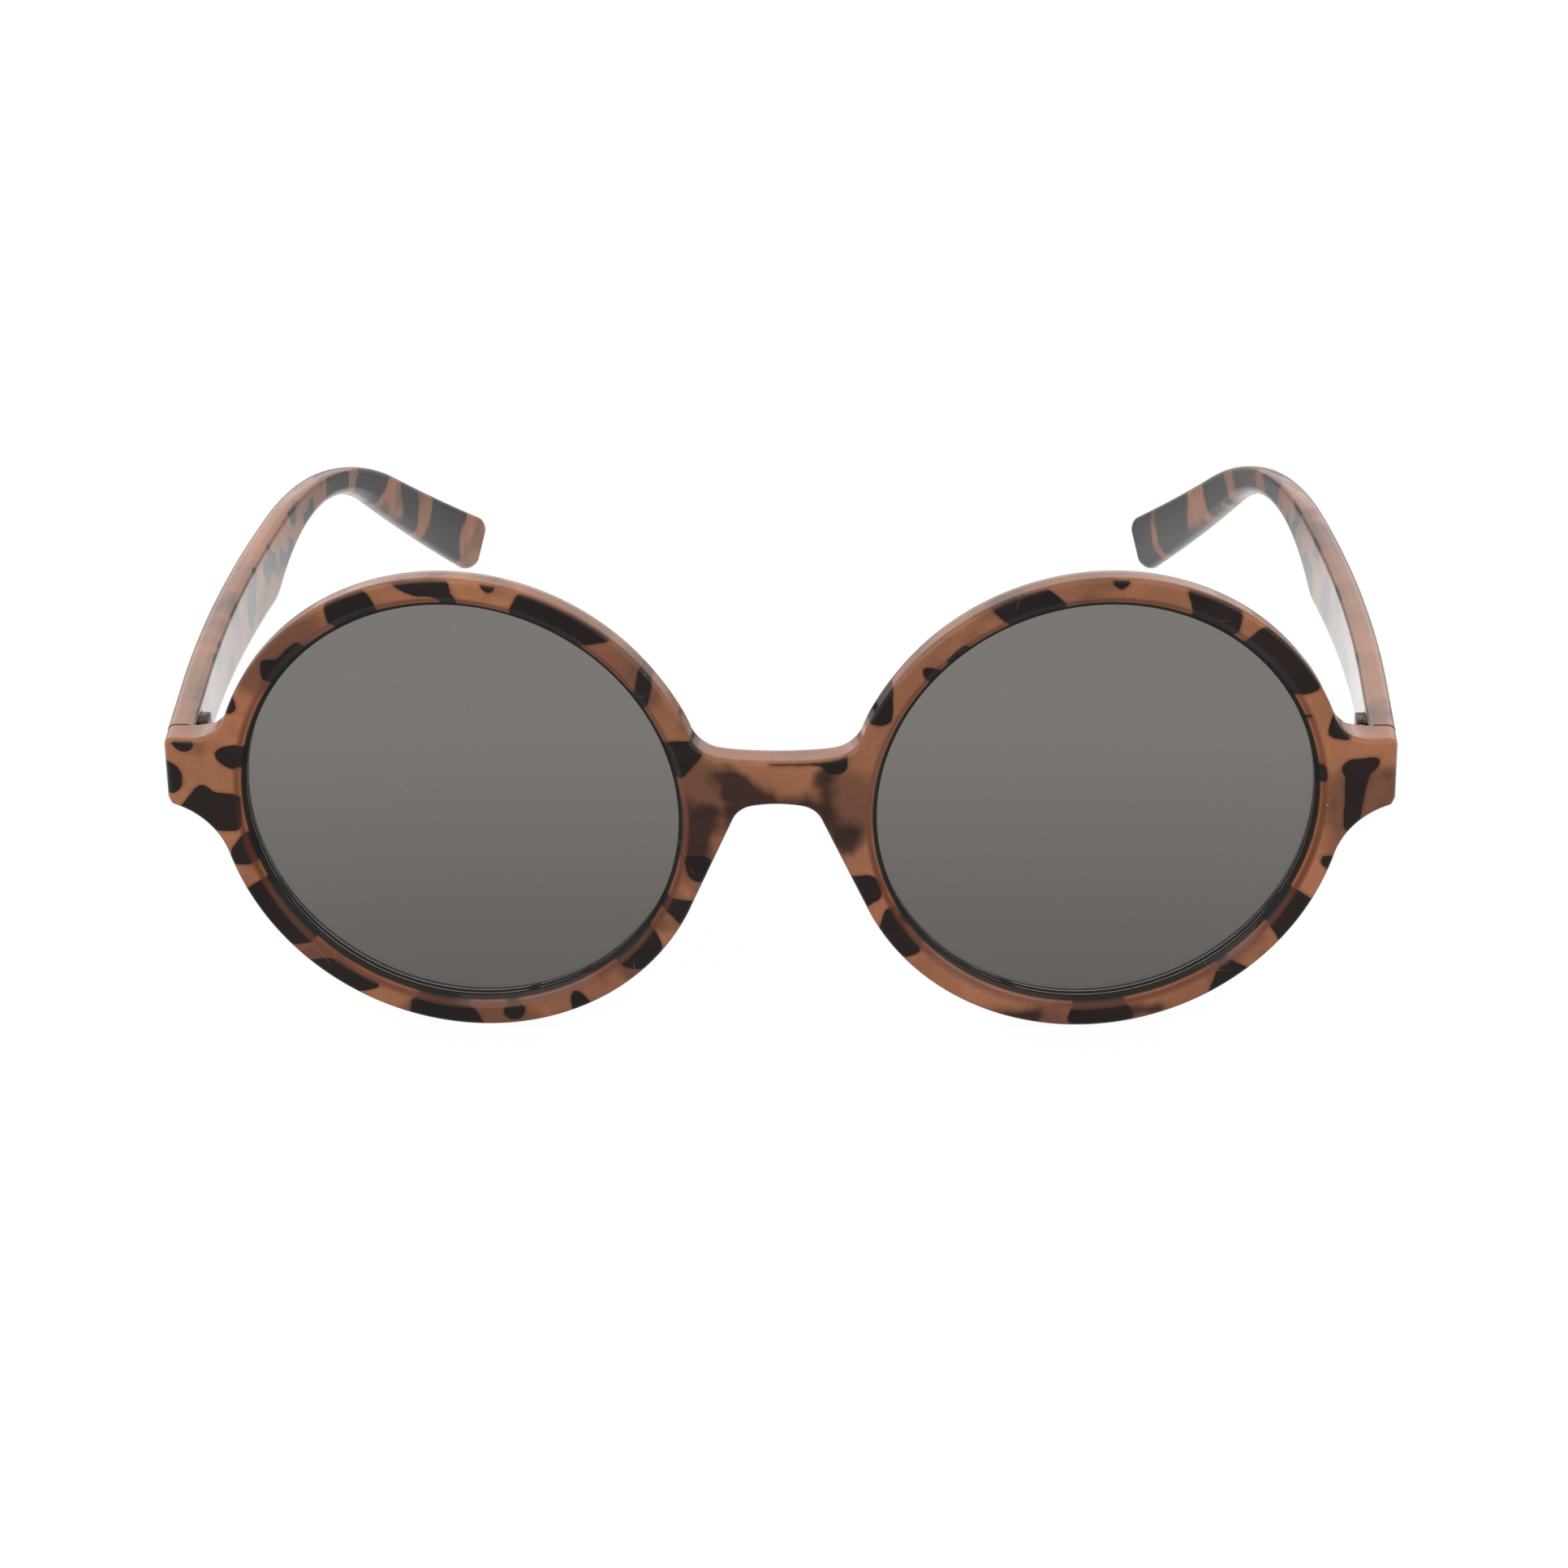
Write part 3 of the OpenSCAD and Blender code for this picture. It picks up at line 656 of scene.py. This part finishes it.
FLAT_SHADES = {
    "left": [
        (-30.8, -25.5, -31, -25.5, 0.5, 8.4), (14, 26, 20, 26, 13, 24), (-9, 8, -9, 8, -31, -26)],
    "right": [
        (-32.5, -26, -32.5, -26, -2.5, 6.8), (26.5, 40, 26.5, 40, -6, 3),
        (-18, -3, -18, -3, -31, -26)]}
TEMPLE_SPOTS = {
    "left": [
        (126.5, 138, 129, 141, -1, 9), (115.5, 121.5, 119, 125, -1, 6.6),
        (98.5, 113, 99, 108, -1, 4.6),
        (87.5, 96, 88, 95, -1, 7), (76.5, 82, 78, 81, 2.5, 5), (69, 75, 71, 73, -1, 2.8),
        (65.5, 72, 66, 71, 4.2, 7), (57.5, 65, 59.5, 63.5, 1.6, 5.6), (47.5, 54, 49, 53, 1, 6.5),
        (39, 45, 41, 43, -1, 3.8), (33, 40, 34, 38, 5.5, 10), (25, 33, 27, 31, -1, 4),
        (17, 23, 16, 24, 3.5, 10), (9, 14, 10, 13, -1, 3)],
    "right": [
        (138.5, 150, 139, 150, -1, 9), (124, 136, 125, 138, -1, 7.6), (106.5, 115, 108, 118, -1, 5),
        (97.5, 102.5, 98, 102, 1.8, 3.6), (82.5, 90, 82, 89, -1, 4), (69, 75, 71, 73, -1, 3),
        (73, 79, 74, 78, 3.2, 6.5), (59, 65, 60, 63, -1, 2.6), (62, 70, 64, 69, 4.8, 10),
        (51, 57, 52, 56, 2, 8), (43, 49, 44, 48, -1, 3.4), (33, 42, 35, 40, 3.8, 10),
        (25, 31, 26, 30, -1, 4.2), (16, 24, 15, 22, 4, 10), (9, 13.5, 10, 13, -1, 4)]}
TEMPLE_STAINS = {
    "left": [(108, 119, 106, 122, 4.4, 9)],
    "right": [(93, 104, 94, 104, -1, 3.6), (118, 126, 119, 138, 5, 9)]}


def to_spots(along, height, spots, scale, most=1.1):
    """Distance in mm to the nearest of some four-sided, rounded spots, negative inside.

    The corners of a spot are rounded by most, or by less where the spot is small."""
    nearest = np.full(along.shape, NO_SPOT)
    for far_start, far_end, near_start, near_end, near, far in spots:
        t = np.clip((height - near) / (far - near), -0.2, 1.2)
        start = near_start + t * (far_start - near_start)
        end = near_end + t * (far_end - near_end)
        width = (far_end + near_end - far_start - near_start) / 2 * np.mean(scale)
        corner = min(most, 0.48 * (far - near), 0.48 * width)
        across = np.maximum((start - along) * scale, (along - end) * scale) + corner
        upright = np.maximum(near - height, height - far) + corner
        away = np.hypot(np.maximum(across, 0), np.maximum(upright, 0))
        away += np.minimum(np.maximum(across, upright), 0) - corner
        # spots that meet run into each other
        melt = np.clip(0.5 + 0.5 * (away - nearest) / MELT, 0, 1)
        nearest = away + (nearest - away) * melt - MELT * melt * (1 - melt)
    return nearest


def store(piece, name, values):
    attribute = piece.data.attributes.new(name, "FLOAT", "POINT")
    attribute.data.foreach_set("value", np.asarray(values, np.float32))


def mark_top(piece):
    """How far each vertex faces up, for the painted sheen that keeps the upper edges pale."""
    flat = np.empty(len(piece.data.vertices) * 3)
    piece.data.vertex_normals.foreach_get("vector", flat)
    store(piece, "upper", step(flat.reshape(-1, 3)[:, 2], 0.45, 0.85))


def pattern_front(piece):
    points = turned(points_of(piece), 1, 2, -TILT)
    out = np.abs(points[:, 0]) - LENS_X
    along = out * math.cos(WRAP) + points[:, 1] * math.sin(WRAP)
    depth = points[:, 1] * math.cos(WRAP) - out * math.sin(WRAP)
    height = points[:, 2]
    radius, turn = np.hypot(along, height), np.degrees(np.arctan2(height, along))
    ring = np.clip(radius, 26.7, 31)
    spots, stains, shades = (np.full(len(points), NO_SPOT) for _ in range(3))
    for side, here in (("left", points[:, 0] < 0), ("right", points[:, 0] >= 0)):
        rim = to_spots(turn, ring, RIM_SPOTS[side], ring * math.pi / 180)
        spots = np.where(here, np.minimum(rim, to_spots(along, height, FLAT_SPOTS[side], 1)), spots)
        stains = np.where(here, to_spots(along, height, FLAT_STAINS[side], 1, 2.4), stains)
        shades = np.where(here, to_spots(along, height, FLAT_SHADES[side], 1, 2.4), shades)
    store(piece, "spots", spots)
    store(piece, "stains", stains)
    store(piece, "shades", shades)
    on_slope = (depth < LENS_SET + 0.3) & (radius < OPEN_R + RIM_SLOPE + 0.2)
    elsewhere = np.where(radius < OPEN_R + 0.6, 0, NO_SPOT)
    store(piece, "lens_edge", np.where(on_slope, radius - OPEN_R, elsewhere))
    mark_top(piece)


def pattern_temple(piece, side):
    y, z = points_of(piece)[:, 1:].T
    ear = np.array([EAR_Y, TEMPLE_Z - EAR_R])
    turn = np.arctan2(y - ear[0], z - ear[1])
    last = ear + EAR_R * np.array([math.sin(TIP_ANGLE), math.cos(TIP_ANGLE)])
    run = (y - last[0]) * math.cos(TIP_ANGLE) - (z - last[1]) * math.sin(TIP_ANGLE)
    drop = -(y - last[0]) * math.sin(TIP_ANGLE) - (z - last[1]) * math.cos(TIP_ANGLE)
    along = np.where(y < EAR_Y, y, np.where(turn < TIP_ANGLE, EAR_Y + EAR_R * turn,
                                            EAR_Y + EAR_R * TIP_ANGLE + run))
    down = np.where(y < EAR_Y, TEMPLE_Z - z, np.where(
        turn < TIP_ANGLE, EAR_R - np.hypot(y - ear[0], z - ear[1]), drop))
    # on a temple the first pair of a spot is at the top edge, so height is turned round
    flipped = {name: [(s[0], s[1], s[2], s[3], -s[5], -s[4]) for s in spots]
               for name, spots in (("spots", TEMPLE_SPOTS[side]), ("stains", TEMPLE_STAINS[side]))}
    # the spots are softer here than on the front, faded towards the hinge as a painted reflection,
    # with uneven edges
    faded_by_painted_reflection = 0.4 * (1 - step(along, 12, 62))
    wander = 0.6 * np.sin(0.9 * along + 0.5 * down) + 0.5 * np.sin(1.1 * down - 1.7 * along + 1)
    spots = to_spots(along, -down, flipped["spots"], 1) + wander
    store(piece, "spots", spots * TEMPLE_SOFTNESS + faded_by_painted_reflection)
    store(piece, "stains", to_spots(along, -down, flipped["stains"], 1))
    store(piece, "shades", 0 * along + NO_SPOT)
    store(piece, "lens_edge", 0 * along + NO_SPOT)
    mark_top(piece)


# Finishes

def node(tree, kind, values, **settings):
    """Adds a shader node; each value is a number, a colour or the output of another node."""
    made = tree.nodes.new("ShaderNode" + kind)
    for key, value in settings.items():
        setattr(made, key, value)
    for key, value in values.items():
        if isinstance(value, bpy.types.NodeSocket):
            tree.links.new(value, made.inputs[key])
        else:
            made.inputs[key].default_value = value
    return made


def tone(red, green, blue):
    """A colour as it looks on a screen, from 0 to 255, made ready for a shader."""
    def light(v):
        return v / 255 / 12.92 if v < 10.3 else ((v / 255 + 0.055) / 1.055) ** 2.4
    return (light(red), light(green), light(blue), 1)


def blend(tree, amount, a, b, kind="MIX"):
    return node(tree, "Mix", {0: amount, 6: a, 7: b}, data_type="RGBA", blend_type=kind).outputs[2]


def span(tree, value, low, high, to_low=0.0, to_high=1.0, kind="SMOOTHSTEP"):
    return node(tree, "MapRange", {0: value, 1: low, 2: high, 3: to_low, 4: to_high},
                interpolation_type=kind).outputs[0]


def sums(tree, operation, a, b, clamp=False):
    return node(tree, "Math", {0: a, 1: b}, operation=operation, use_clamp=clamp).outputs[0]


def clouds(tree, where, scale, detail=2.0, rough=0.5):
    """Noise with features of about 1 / scale metres."""
    return node(tree, "TexNoise", {"Vector": where, "Scale": scale, "Detail": detail,
                                   "Roughness": rough}).outputs["Fac"]


def painted(tree, name):
    return node(tree, "Attribute", {}, attribute_name=name).outputs["Fac"]


def new_material(name):
    material = bpy.data.materials.new(name)
    material.use_nodes = True
    tree = material.node_tree
    return material, tree, tree.nodes["Principled BSDF"]


def new_group(name, inputs, outputs):
    group = bpy.data.node_groups.new(name, "ShaderNodeTree")
    for label, kind in inputs:
        group.interface.new_socket(name=label, in_out="INPUT", socket_type="NodeSocket" + kind)
    for label, kind in outputs:
        group.interface.new_socket(name=label, in_out="OUTPUT", socket_type="NodeSocket" + kind)
    given = group.nodes.new("NodeGroupInput").outputs
    return group, given, group.nodes.new("NodeGroupOutput").inputs


def fine_wear():
    """Dust specks and short hair scratches, as masks, and a height that holds both."""
    group, given, made = new_group("fine_wear", [("Specks", "Float"), ("Scratches", "Float")],
                                   [("Dust", "Float"), ("Hairs", "Float"), ("Height", "Float")])
    where = node(group, "TexCoord", {}).outputs["Object"]
    cells = node(group, "TexVoronoi", {"Vector": where, "Scale": 420.0, "Randomness": 1.0})
    size = span(group, clouds(group, where, 300.0), 0.5, 0.75, 0.0, 0.075, "LINEAR")
    dust = sums(group, "SUBTRACT", cells.outputs["Distance"], size)
    dust = sums(group, "MULTIPLY", span(group, dust, -0.02, 0.01, 1.0, 0.0), given["Specks"])
    warp = node(group, "TexNoise", {"Vector": where, "Scale": 60.0, "Detail": 1.0}).outputs["Color"]
    warp = node(group, "VectorMath", {0: warp, "Scale": 0.02}, operation="SCALE").outputs[0]
    bent = node(group, "VectorMath", {0: where, 1: warp}, operation="ADD")
    lines = node(group, "TexVoronoi", {"Vector": bent.outputs[0], "Scale": 130.0},
                 feature="DISTANCE_TO_EDGE")
    hair = span(group, lines.outputs["Distance"], 0.0, 0.009, 1.0, 0.0)
    hair = sums(group, "MULTIPLY", hair, span(group, clouds(group, where, 150.0), 0.62, 0.7))
    hair = sums(group, "MULTIPLY", hair, given["Scratches"])
    group.links.new(dust, made["Dust"])
    group.links.new(hair, made["Hairs"])
    group.links.new(sums(group, "SUBTRACT", dust, hair), made["Height"])
    return group


WEAR = fine_wear()


def worn(tree, specks, scratches):
    return node(tree, "Group", {"Specks": specks, "Scratches": scratches}, node_tree=WEAR).outputs


def tortoise_plastic():
    material, tree, surface = new_material("tortoise_plastic")
    where = node(tree, "TexCoord", {}).outputs["Object"]
    wear = worn(tree, 1.0, 0.7)
    ragged = span(tree, clouds(tree, where, 420.0, 1.0), 0.3, 0.7, -0.08, 0.08, "LINEAR")
    spots = sums(tree, "ADD", painted(tree, "spots"), ragged)
    uneven = span(tree, clouds(tree, where, 240.0, 2.0), 0.3, 0.7, -0.8, 0.8, "LINEAR")
    stains = sums(tree, "ADD", painted(tree, "stains"), uneven)
    # painted sheen: on faces turned up the dark pattern fades to the plain caramel, standing in for
    # reflected light
    upper = painted(tree, "upper")
    clear_of_painted_sheen = span(tree, upper, 0.0, 1.0, 1.0, 0.08, "LINEAR")

    broad = clouds(tree, where, 75.0, 2.0)
    grain = clouds(tree, where, 2200.0, 2.0)
    colour = blend(tree, span(tree, broad, 0.35, 0.65), tone(162, 106, 76), tone(192, 126, 88))
    patches = span(tree, clouds(tree, where, 150.0, 2.0), 0.46, 0.74)
    colour = blend(tree, patches, colour, tone(118, 77, 58))
    colour = blend(tree, span(tree, grain, 0.3, 0.7, 0.0, 0.14), colour, tone(104, 62, 42))
    shade = span(tree, painted(tree, "shades"), -1.4, 1.2, 0.6, 0.0)
    colour = blend(tree, sums(tree, "MULTIPLY", shade, clear_of_painted_sheen), colour, tone(84, 54, 44))
    stain = span(tree, stains, -1.1, 0.9, 0.94, 0.0)
    colour = blend(tree, sums(tree, "MULTIPLY", stain, clear_of_painted_sheen), colour, tone(50, 27, 21))
    halo = span(tree, spots, -0.1, 0.55, 0.4, 0.0)
    colour = blend(tree, sums(tree, "MULTIPLY", halo, clear_of_painted_sheen), colour, tone(92, 46, 28))
    edge = painted(tree, "lens_edge")
    # painted glow: an orange line on the slope beside the lens, standing in for light carried
    # through the clear plastic
    painted_glow = sums(tree, "MULTIPLY", span(tree, edge, 0.55, 0.9), span(tree, edge, 1.0, 1.6, 1.0, 0.0))
    colour = blend(tree, sums(tree, "MULTIPLY", painted_glow, 0.75), colour, tone(128, 66, 36))
    dark = span(tree, spots, -0.12, 0.1, 1.0, 0.0)
    dark = sums(tree, "MULTIPLY", dark, clear_of_painted_sheen)
    brown = blend(tree, span(tree, broad, 0.4, 0.6), tone(25, 13, 10), tone(36, 21, 17))
    colour = blend(tree, dark, colour, brown)
    # on the lower half the painted glow on the slope beside the lens is a deeper brown, also next
    # to a dark spot
    low = span(tree, node(tree, "SeparateXYZ", {0: where}).outputs[2], 0.02, 0.032, 0.6, 0.0)
    colour = blend(tree, sums(tree, "MULTIPLY", painted_glow, low), colour, tone(112, 56, 32))
    # painted shade: the wall beside the lens is painted nearly black
    wall = span(tree, edge, 0.4, 0.68, 1.0, 0.0)
    colour = blend(tree, sums(tree, "MULTIPLY", wall, 0.97), colour, tone(10, 7, 6))
    colour = blend(tree, sums(tree, "MULTIPLY", wear["Dust"], 0.5), colour, tone(215, 200, 190))
    colour = blend(tree, sums(tree, "MULTIPLY", wear["Hairs"], 0.3), colour, tone(190, 170, 155))
    tree.links.new(colour, surface.inputs["Base Color"])

    rough = span(tree, clouds(tree, where, 260.0, 3.0), 0.3, 0.7, 0.08, 0.15, "LINEAR")
    rough = sums(tree, "ADD", rough, sums(tree, "MULTIPLY", wear["Hairs"], 0.3))
    rough = sums(tree, "ADD", rough, sums(tree, "MULTIPLY", wall, 0.5), True)
    tree.links.new(rough, surface.inputs["Roughness"])
    waves = sums(tree, "MULTIPLY", clouds(tree, where, 500.0, 2.0), 0.6)
    height = sums(tree, "ADD", wear["Height"], waves)
    bump = node(tree, "Bump", {"Height": height, "Strength": 0.35, "Distance": 0.00003})
    tree.links.new(bump.outputs[0], surface.inputs["Normal"])
    # two thin clear layers: dark from the front, bright where the light grazes them
    surface.inputs["IOR"].default_value = 1.25
    surface.inputs["Coat Weight"].default_value = 1.0
    surface.inputs["Coat IOR"].default_value = 1.25
    surface.inputs["Coat Roughness"].default_value = 0.08
    return material


def grey_lens():
    material, tree, surface = new_material("grey_lens")
    low, high = tone(123, 118, 114), tone(118, 115, 111)
    place = node(tree, "TexCoord", {}).outputs["Object"]
    wear = worn(tree, 1.0, 0.6)
    height = node(tree, "SeparateXYZ", {0: place}).outputs[2]
    tint = blend(tree, span(tree, height, 0.0, 0.045), low, high)
    haze = span(tree, clouds(tree, place, 60.0, 3.0), 0.3, 0.7, 0.0, 0.08)
    tint = blend(tree, haze, tint, low)
    tint = blend(tree, sums(tree, "MULTIPLY", wear["Dust"], 0.6), tint, tone(225, 222, 218))
    tint = blend(tree, sums(tree, "MULTIPLY", wear["Hairs"], 0.2), tint, tone(200, 198, 194))
    tree.links.new(tint, surface.inputs["Base Color"])
    rough = span(tree, clouds(tree, place, 220.0, 3.0), 0.3, 0.7, 0.0, 0.03, "LINEAR")
    tree.links.new(rough, surface.inputs["Roughness"])
    bump = node(tree, "Bump", {"Height": wear["Dust"], "Strength": 0.1, "Distance": 0.00001})
    tree.links.new(bump.outputs[0], surface.inputs["Normal"])
    surface.inputs["Transmission Weight"].default_value = 1.0
    surface.inputs["IOR"].default_value = 1.5
    return material


def turned_metal(name, bright, dull, rough_low, rough_high, grain_scale):
    material, tree, surface = new_material(name)
    where = node(tree, "TexCoord", {}).outputs["Object"]
    wear = worn(tree, 0.3, 1.0)
    tarnish = span(tree, clouds(tree, where, 900.0, 4.0, 0.6), 0.38, 0.66)
    colour = blend(tree, tarnish, bright, dull)
    colour = blend(tree, sums(tree, "MULTIPLY", wear["Hairs"], 0.7), colour, tone(226, 214, 190))
    tree.links.new(colour, surface.inputs["Base Color"])
    rough = sums(tree, "ADD", span(tree, tarnish, 0.0, 1.0, rough_low, rough_high, "LINEAR"),
                 sums(tree, "MULTIPLY", wear["Dust"], 0.2), True)
    tree.links.new(rough, surface.inputs["Roughness"])
    brushed = node(tree, "Mapping", {"Vector": where, "Scale": (1.0, 1.0, 0.08)})
    grain = clouds(tree, brushed.outputs[0], grain_scale, 2.0)
    height = sums(tree, "ADD", wear["Height"], grain)
    bump = node(tree, "Bump", {"Height": height, "Strength": 0.3, "Distance": 0.00003})
    tree.links.new(bump.outputs[0], surface.inputs["Normal"])
    surface.inputs["Metallic"].default_value = 1.0
    return material


def finish(piece, material):
    piece.data.materials.clear()
    piece.data.materials.append(material)


def assemble():
    plastic, lens = tortoise_plastic(), grey_lens()
    bronze = turned_metal("hinge_metal", tone(96, 71, 56), tone(38, 26, 22), 0.2, 0.38, 2600.0)
    steel = turned_metal("screw_steel", tone(196, 190, 180), tone(140, 128, 112), 0.2, 0.34, 3200.0)

    front = build_front()
    pattern_front(front)
    finish(front, plastic)
    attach(front, "front")
    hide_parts("front_frame")
    for piece, side in zip(temple_pair(), ("left", "right")):
        pattern_temple(piece, side)
        finish(piece, plastic)
        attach(piece, side + "_arm")
        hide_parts(side + "_temple")
    for side in ("left", "right"):
        for slot in nodes[side + "_lens"].material_slots:
            slot.material = lens
        parts = [(side + "_front_leaf", "front", bronze, "hinge_metal", LEAF_EDGE),
                 (side + "_temple_leaf", side + "_arm", bronze, "hinge_metal", LEAF_EDGE),
                 (side + "_hinge_screw", "front", steel, "screw_steel", SCREW_EDGE)]
        for name, body, metal, slot_name, width in parts:
            piece = eased(name, width)
            finish(piece, metal)
            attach(piece, body)
            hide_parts(name)


# Studio: camera, lamps, floor

def soft_lamp(name, place, aim, size, power):
    data = bpy.data.lights.new(name, "AREA")
    data.shape, data.size, data.size_y, data.energy = "RECTANGLE", size[0], size[1], power
    lamp = bpy.data.objects.new(name, data)
    lamp.location = place
    lamp.rotation_euler = (Vector(aim) - Vector(place)).to_track_quat("-Z", "Y").to_euler()
    bpy.context.scene.collection.objects.link(lamp)


def seen_directly(tree):
    """1 for the camera's own rays and those that reflect off or pass through the object."""
    path = node(tree, "LightPath", {}).outputs
    some = sums(tree, "MAXIMUM", path["Is Camera Ray"], path["Is Glossy Ray"])
    return sums(tree, "MAXIMUM", some, path["Is Transmission Ray"])


def studio():
    camera_data = bpy.data.cameras.new("camera")
    camera_data.lens = 117.3
    camera = bpy.data.objects.new("camera", camera_data)
    camera.location = (0.01851, -0.59506, 0.29532)
    camera.rotation_euler = [math.radians(a) for a in (63.551, 0.7246, 1.5684)]
    bpy.context.scene.collection.objects.link(camera)
    bpy.context.scene.camera = camera
    bpy.context.scene.view_settings.view_transform = "Standard"

    world = bpy.data.worlds.new("studio")
    world.use_nodes = True
    tree = world.node_tree
    strength = span(tree, seen_directly(tree), 0.0, 1.0, 0.62, 1.0, "LINEAR")
    tree.nodes["Background"].inputs["Color"].default_value = (1, 1, 1, 1)
    tree.links.new(strength, tree.nodes["Background"].inputs["Strength"])
    bpy.context.scene.world = world

    soft_lamp("behind", (0, 1.1, 0.62), (0, 0, 0.03), (1.8, 0.8), 2.7)
    soft_lamp("front_left", (-0.7, -0.8, 0.7), (0, -0.03, 0.02), (0.8, 0.8), 2.8)
    soft_lamp("front_right", (0.8, -0.7, 0.5), (0, -0.03, 0.02), (0.6, 0.8), 1.4)

    deselect()
    bpy.ops.mesh.primitive_plane_add(size=6, location=(0, 0, 0))
    floor = bpy.context.object
    floor.name = "floor"
    material, tree, surface = new_material("pale_floor")
    surface.inputs["Base Color"].default_value = (0.66, 0.66, 0.66, 1)
    surface.inputs["Roughness"].default_value = 0.9
    surface.inputs["Specular IOR Level"].default_value = 0.0
    # the table in front of the glasses and close behind the tips gives less light to reflections
    place = node(tree, "SeparateXYZ", {0: node(tree, "TexCoord", {}).outputs["Object"]}).outputs[1]
    path = node(tree, "LightPath", {}).outputs
    in_front = span(tree, place, -0.07, 0.03, 0.54, 0.0)
    behind = span(tree, place, 0.055, 0.09, 0.0, 0.65)
    dim = sums(tree, "MULTIPLY", sums(tree, "MAXIMUM", in_front, behind), path["Is Glossy Ray"])
    strength = sums(tree, "SUBTRACT", 1.09, dim)
    plain = node(tree, "Emission", {"Color": (1, 1, 1, 1), "Strength": strength})
    amount = sums(tree, "MULTIPLY", seen_directly(tree), 0.87)
    mix = node(tree, "MixShader", {0: amount, 1: surface.outputs[0], 2: plain.outputs[0]})
    tree.links.new(mix.outputs[0], tree.nodes["Material Output"].inputs["Surface"])
    finish(floor, material)


assemble()
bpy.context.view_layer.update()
studio()
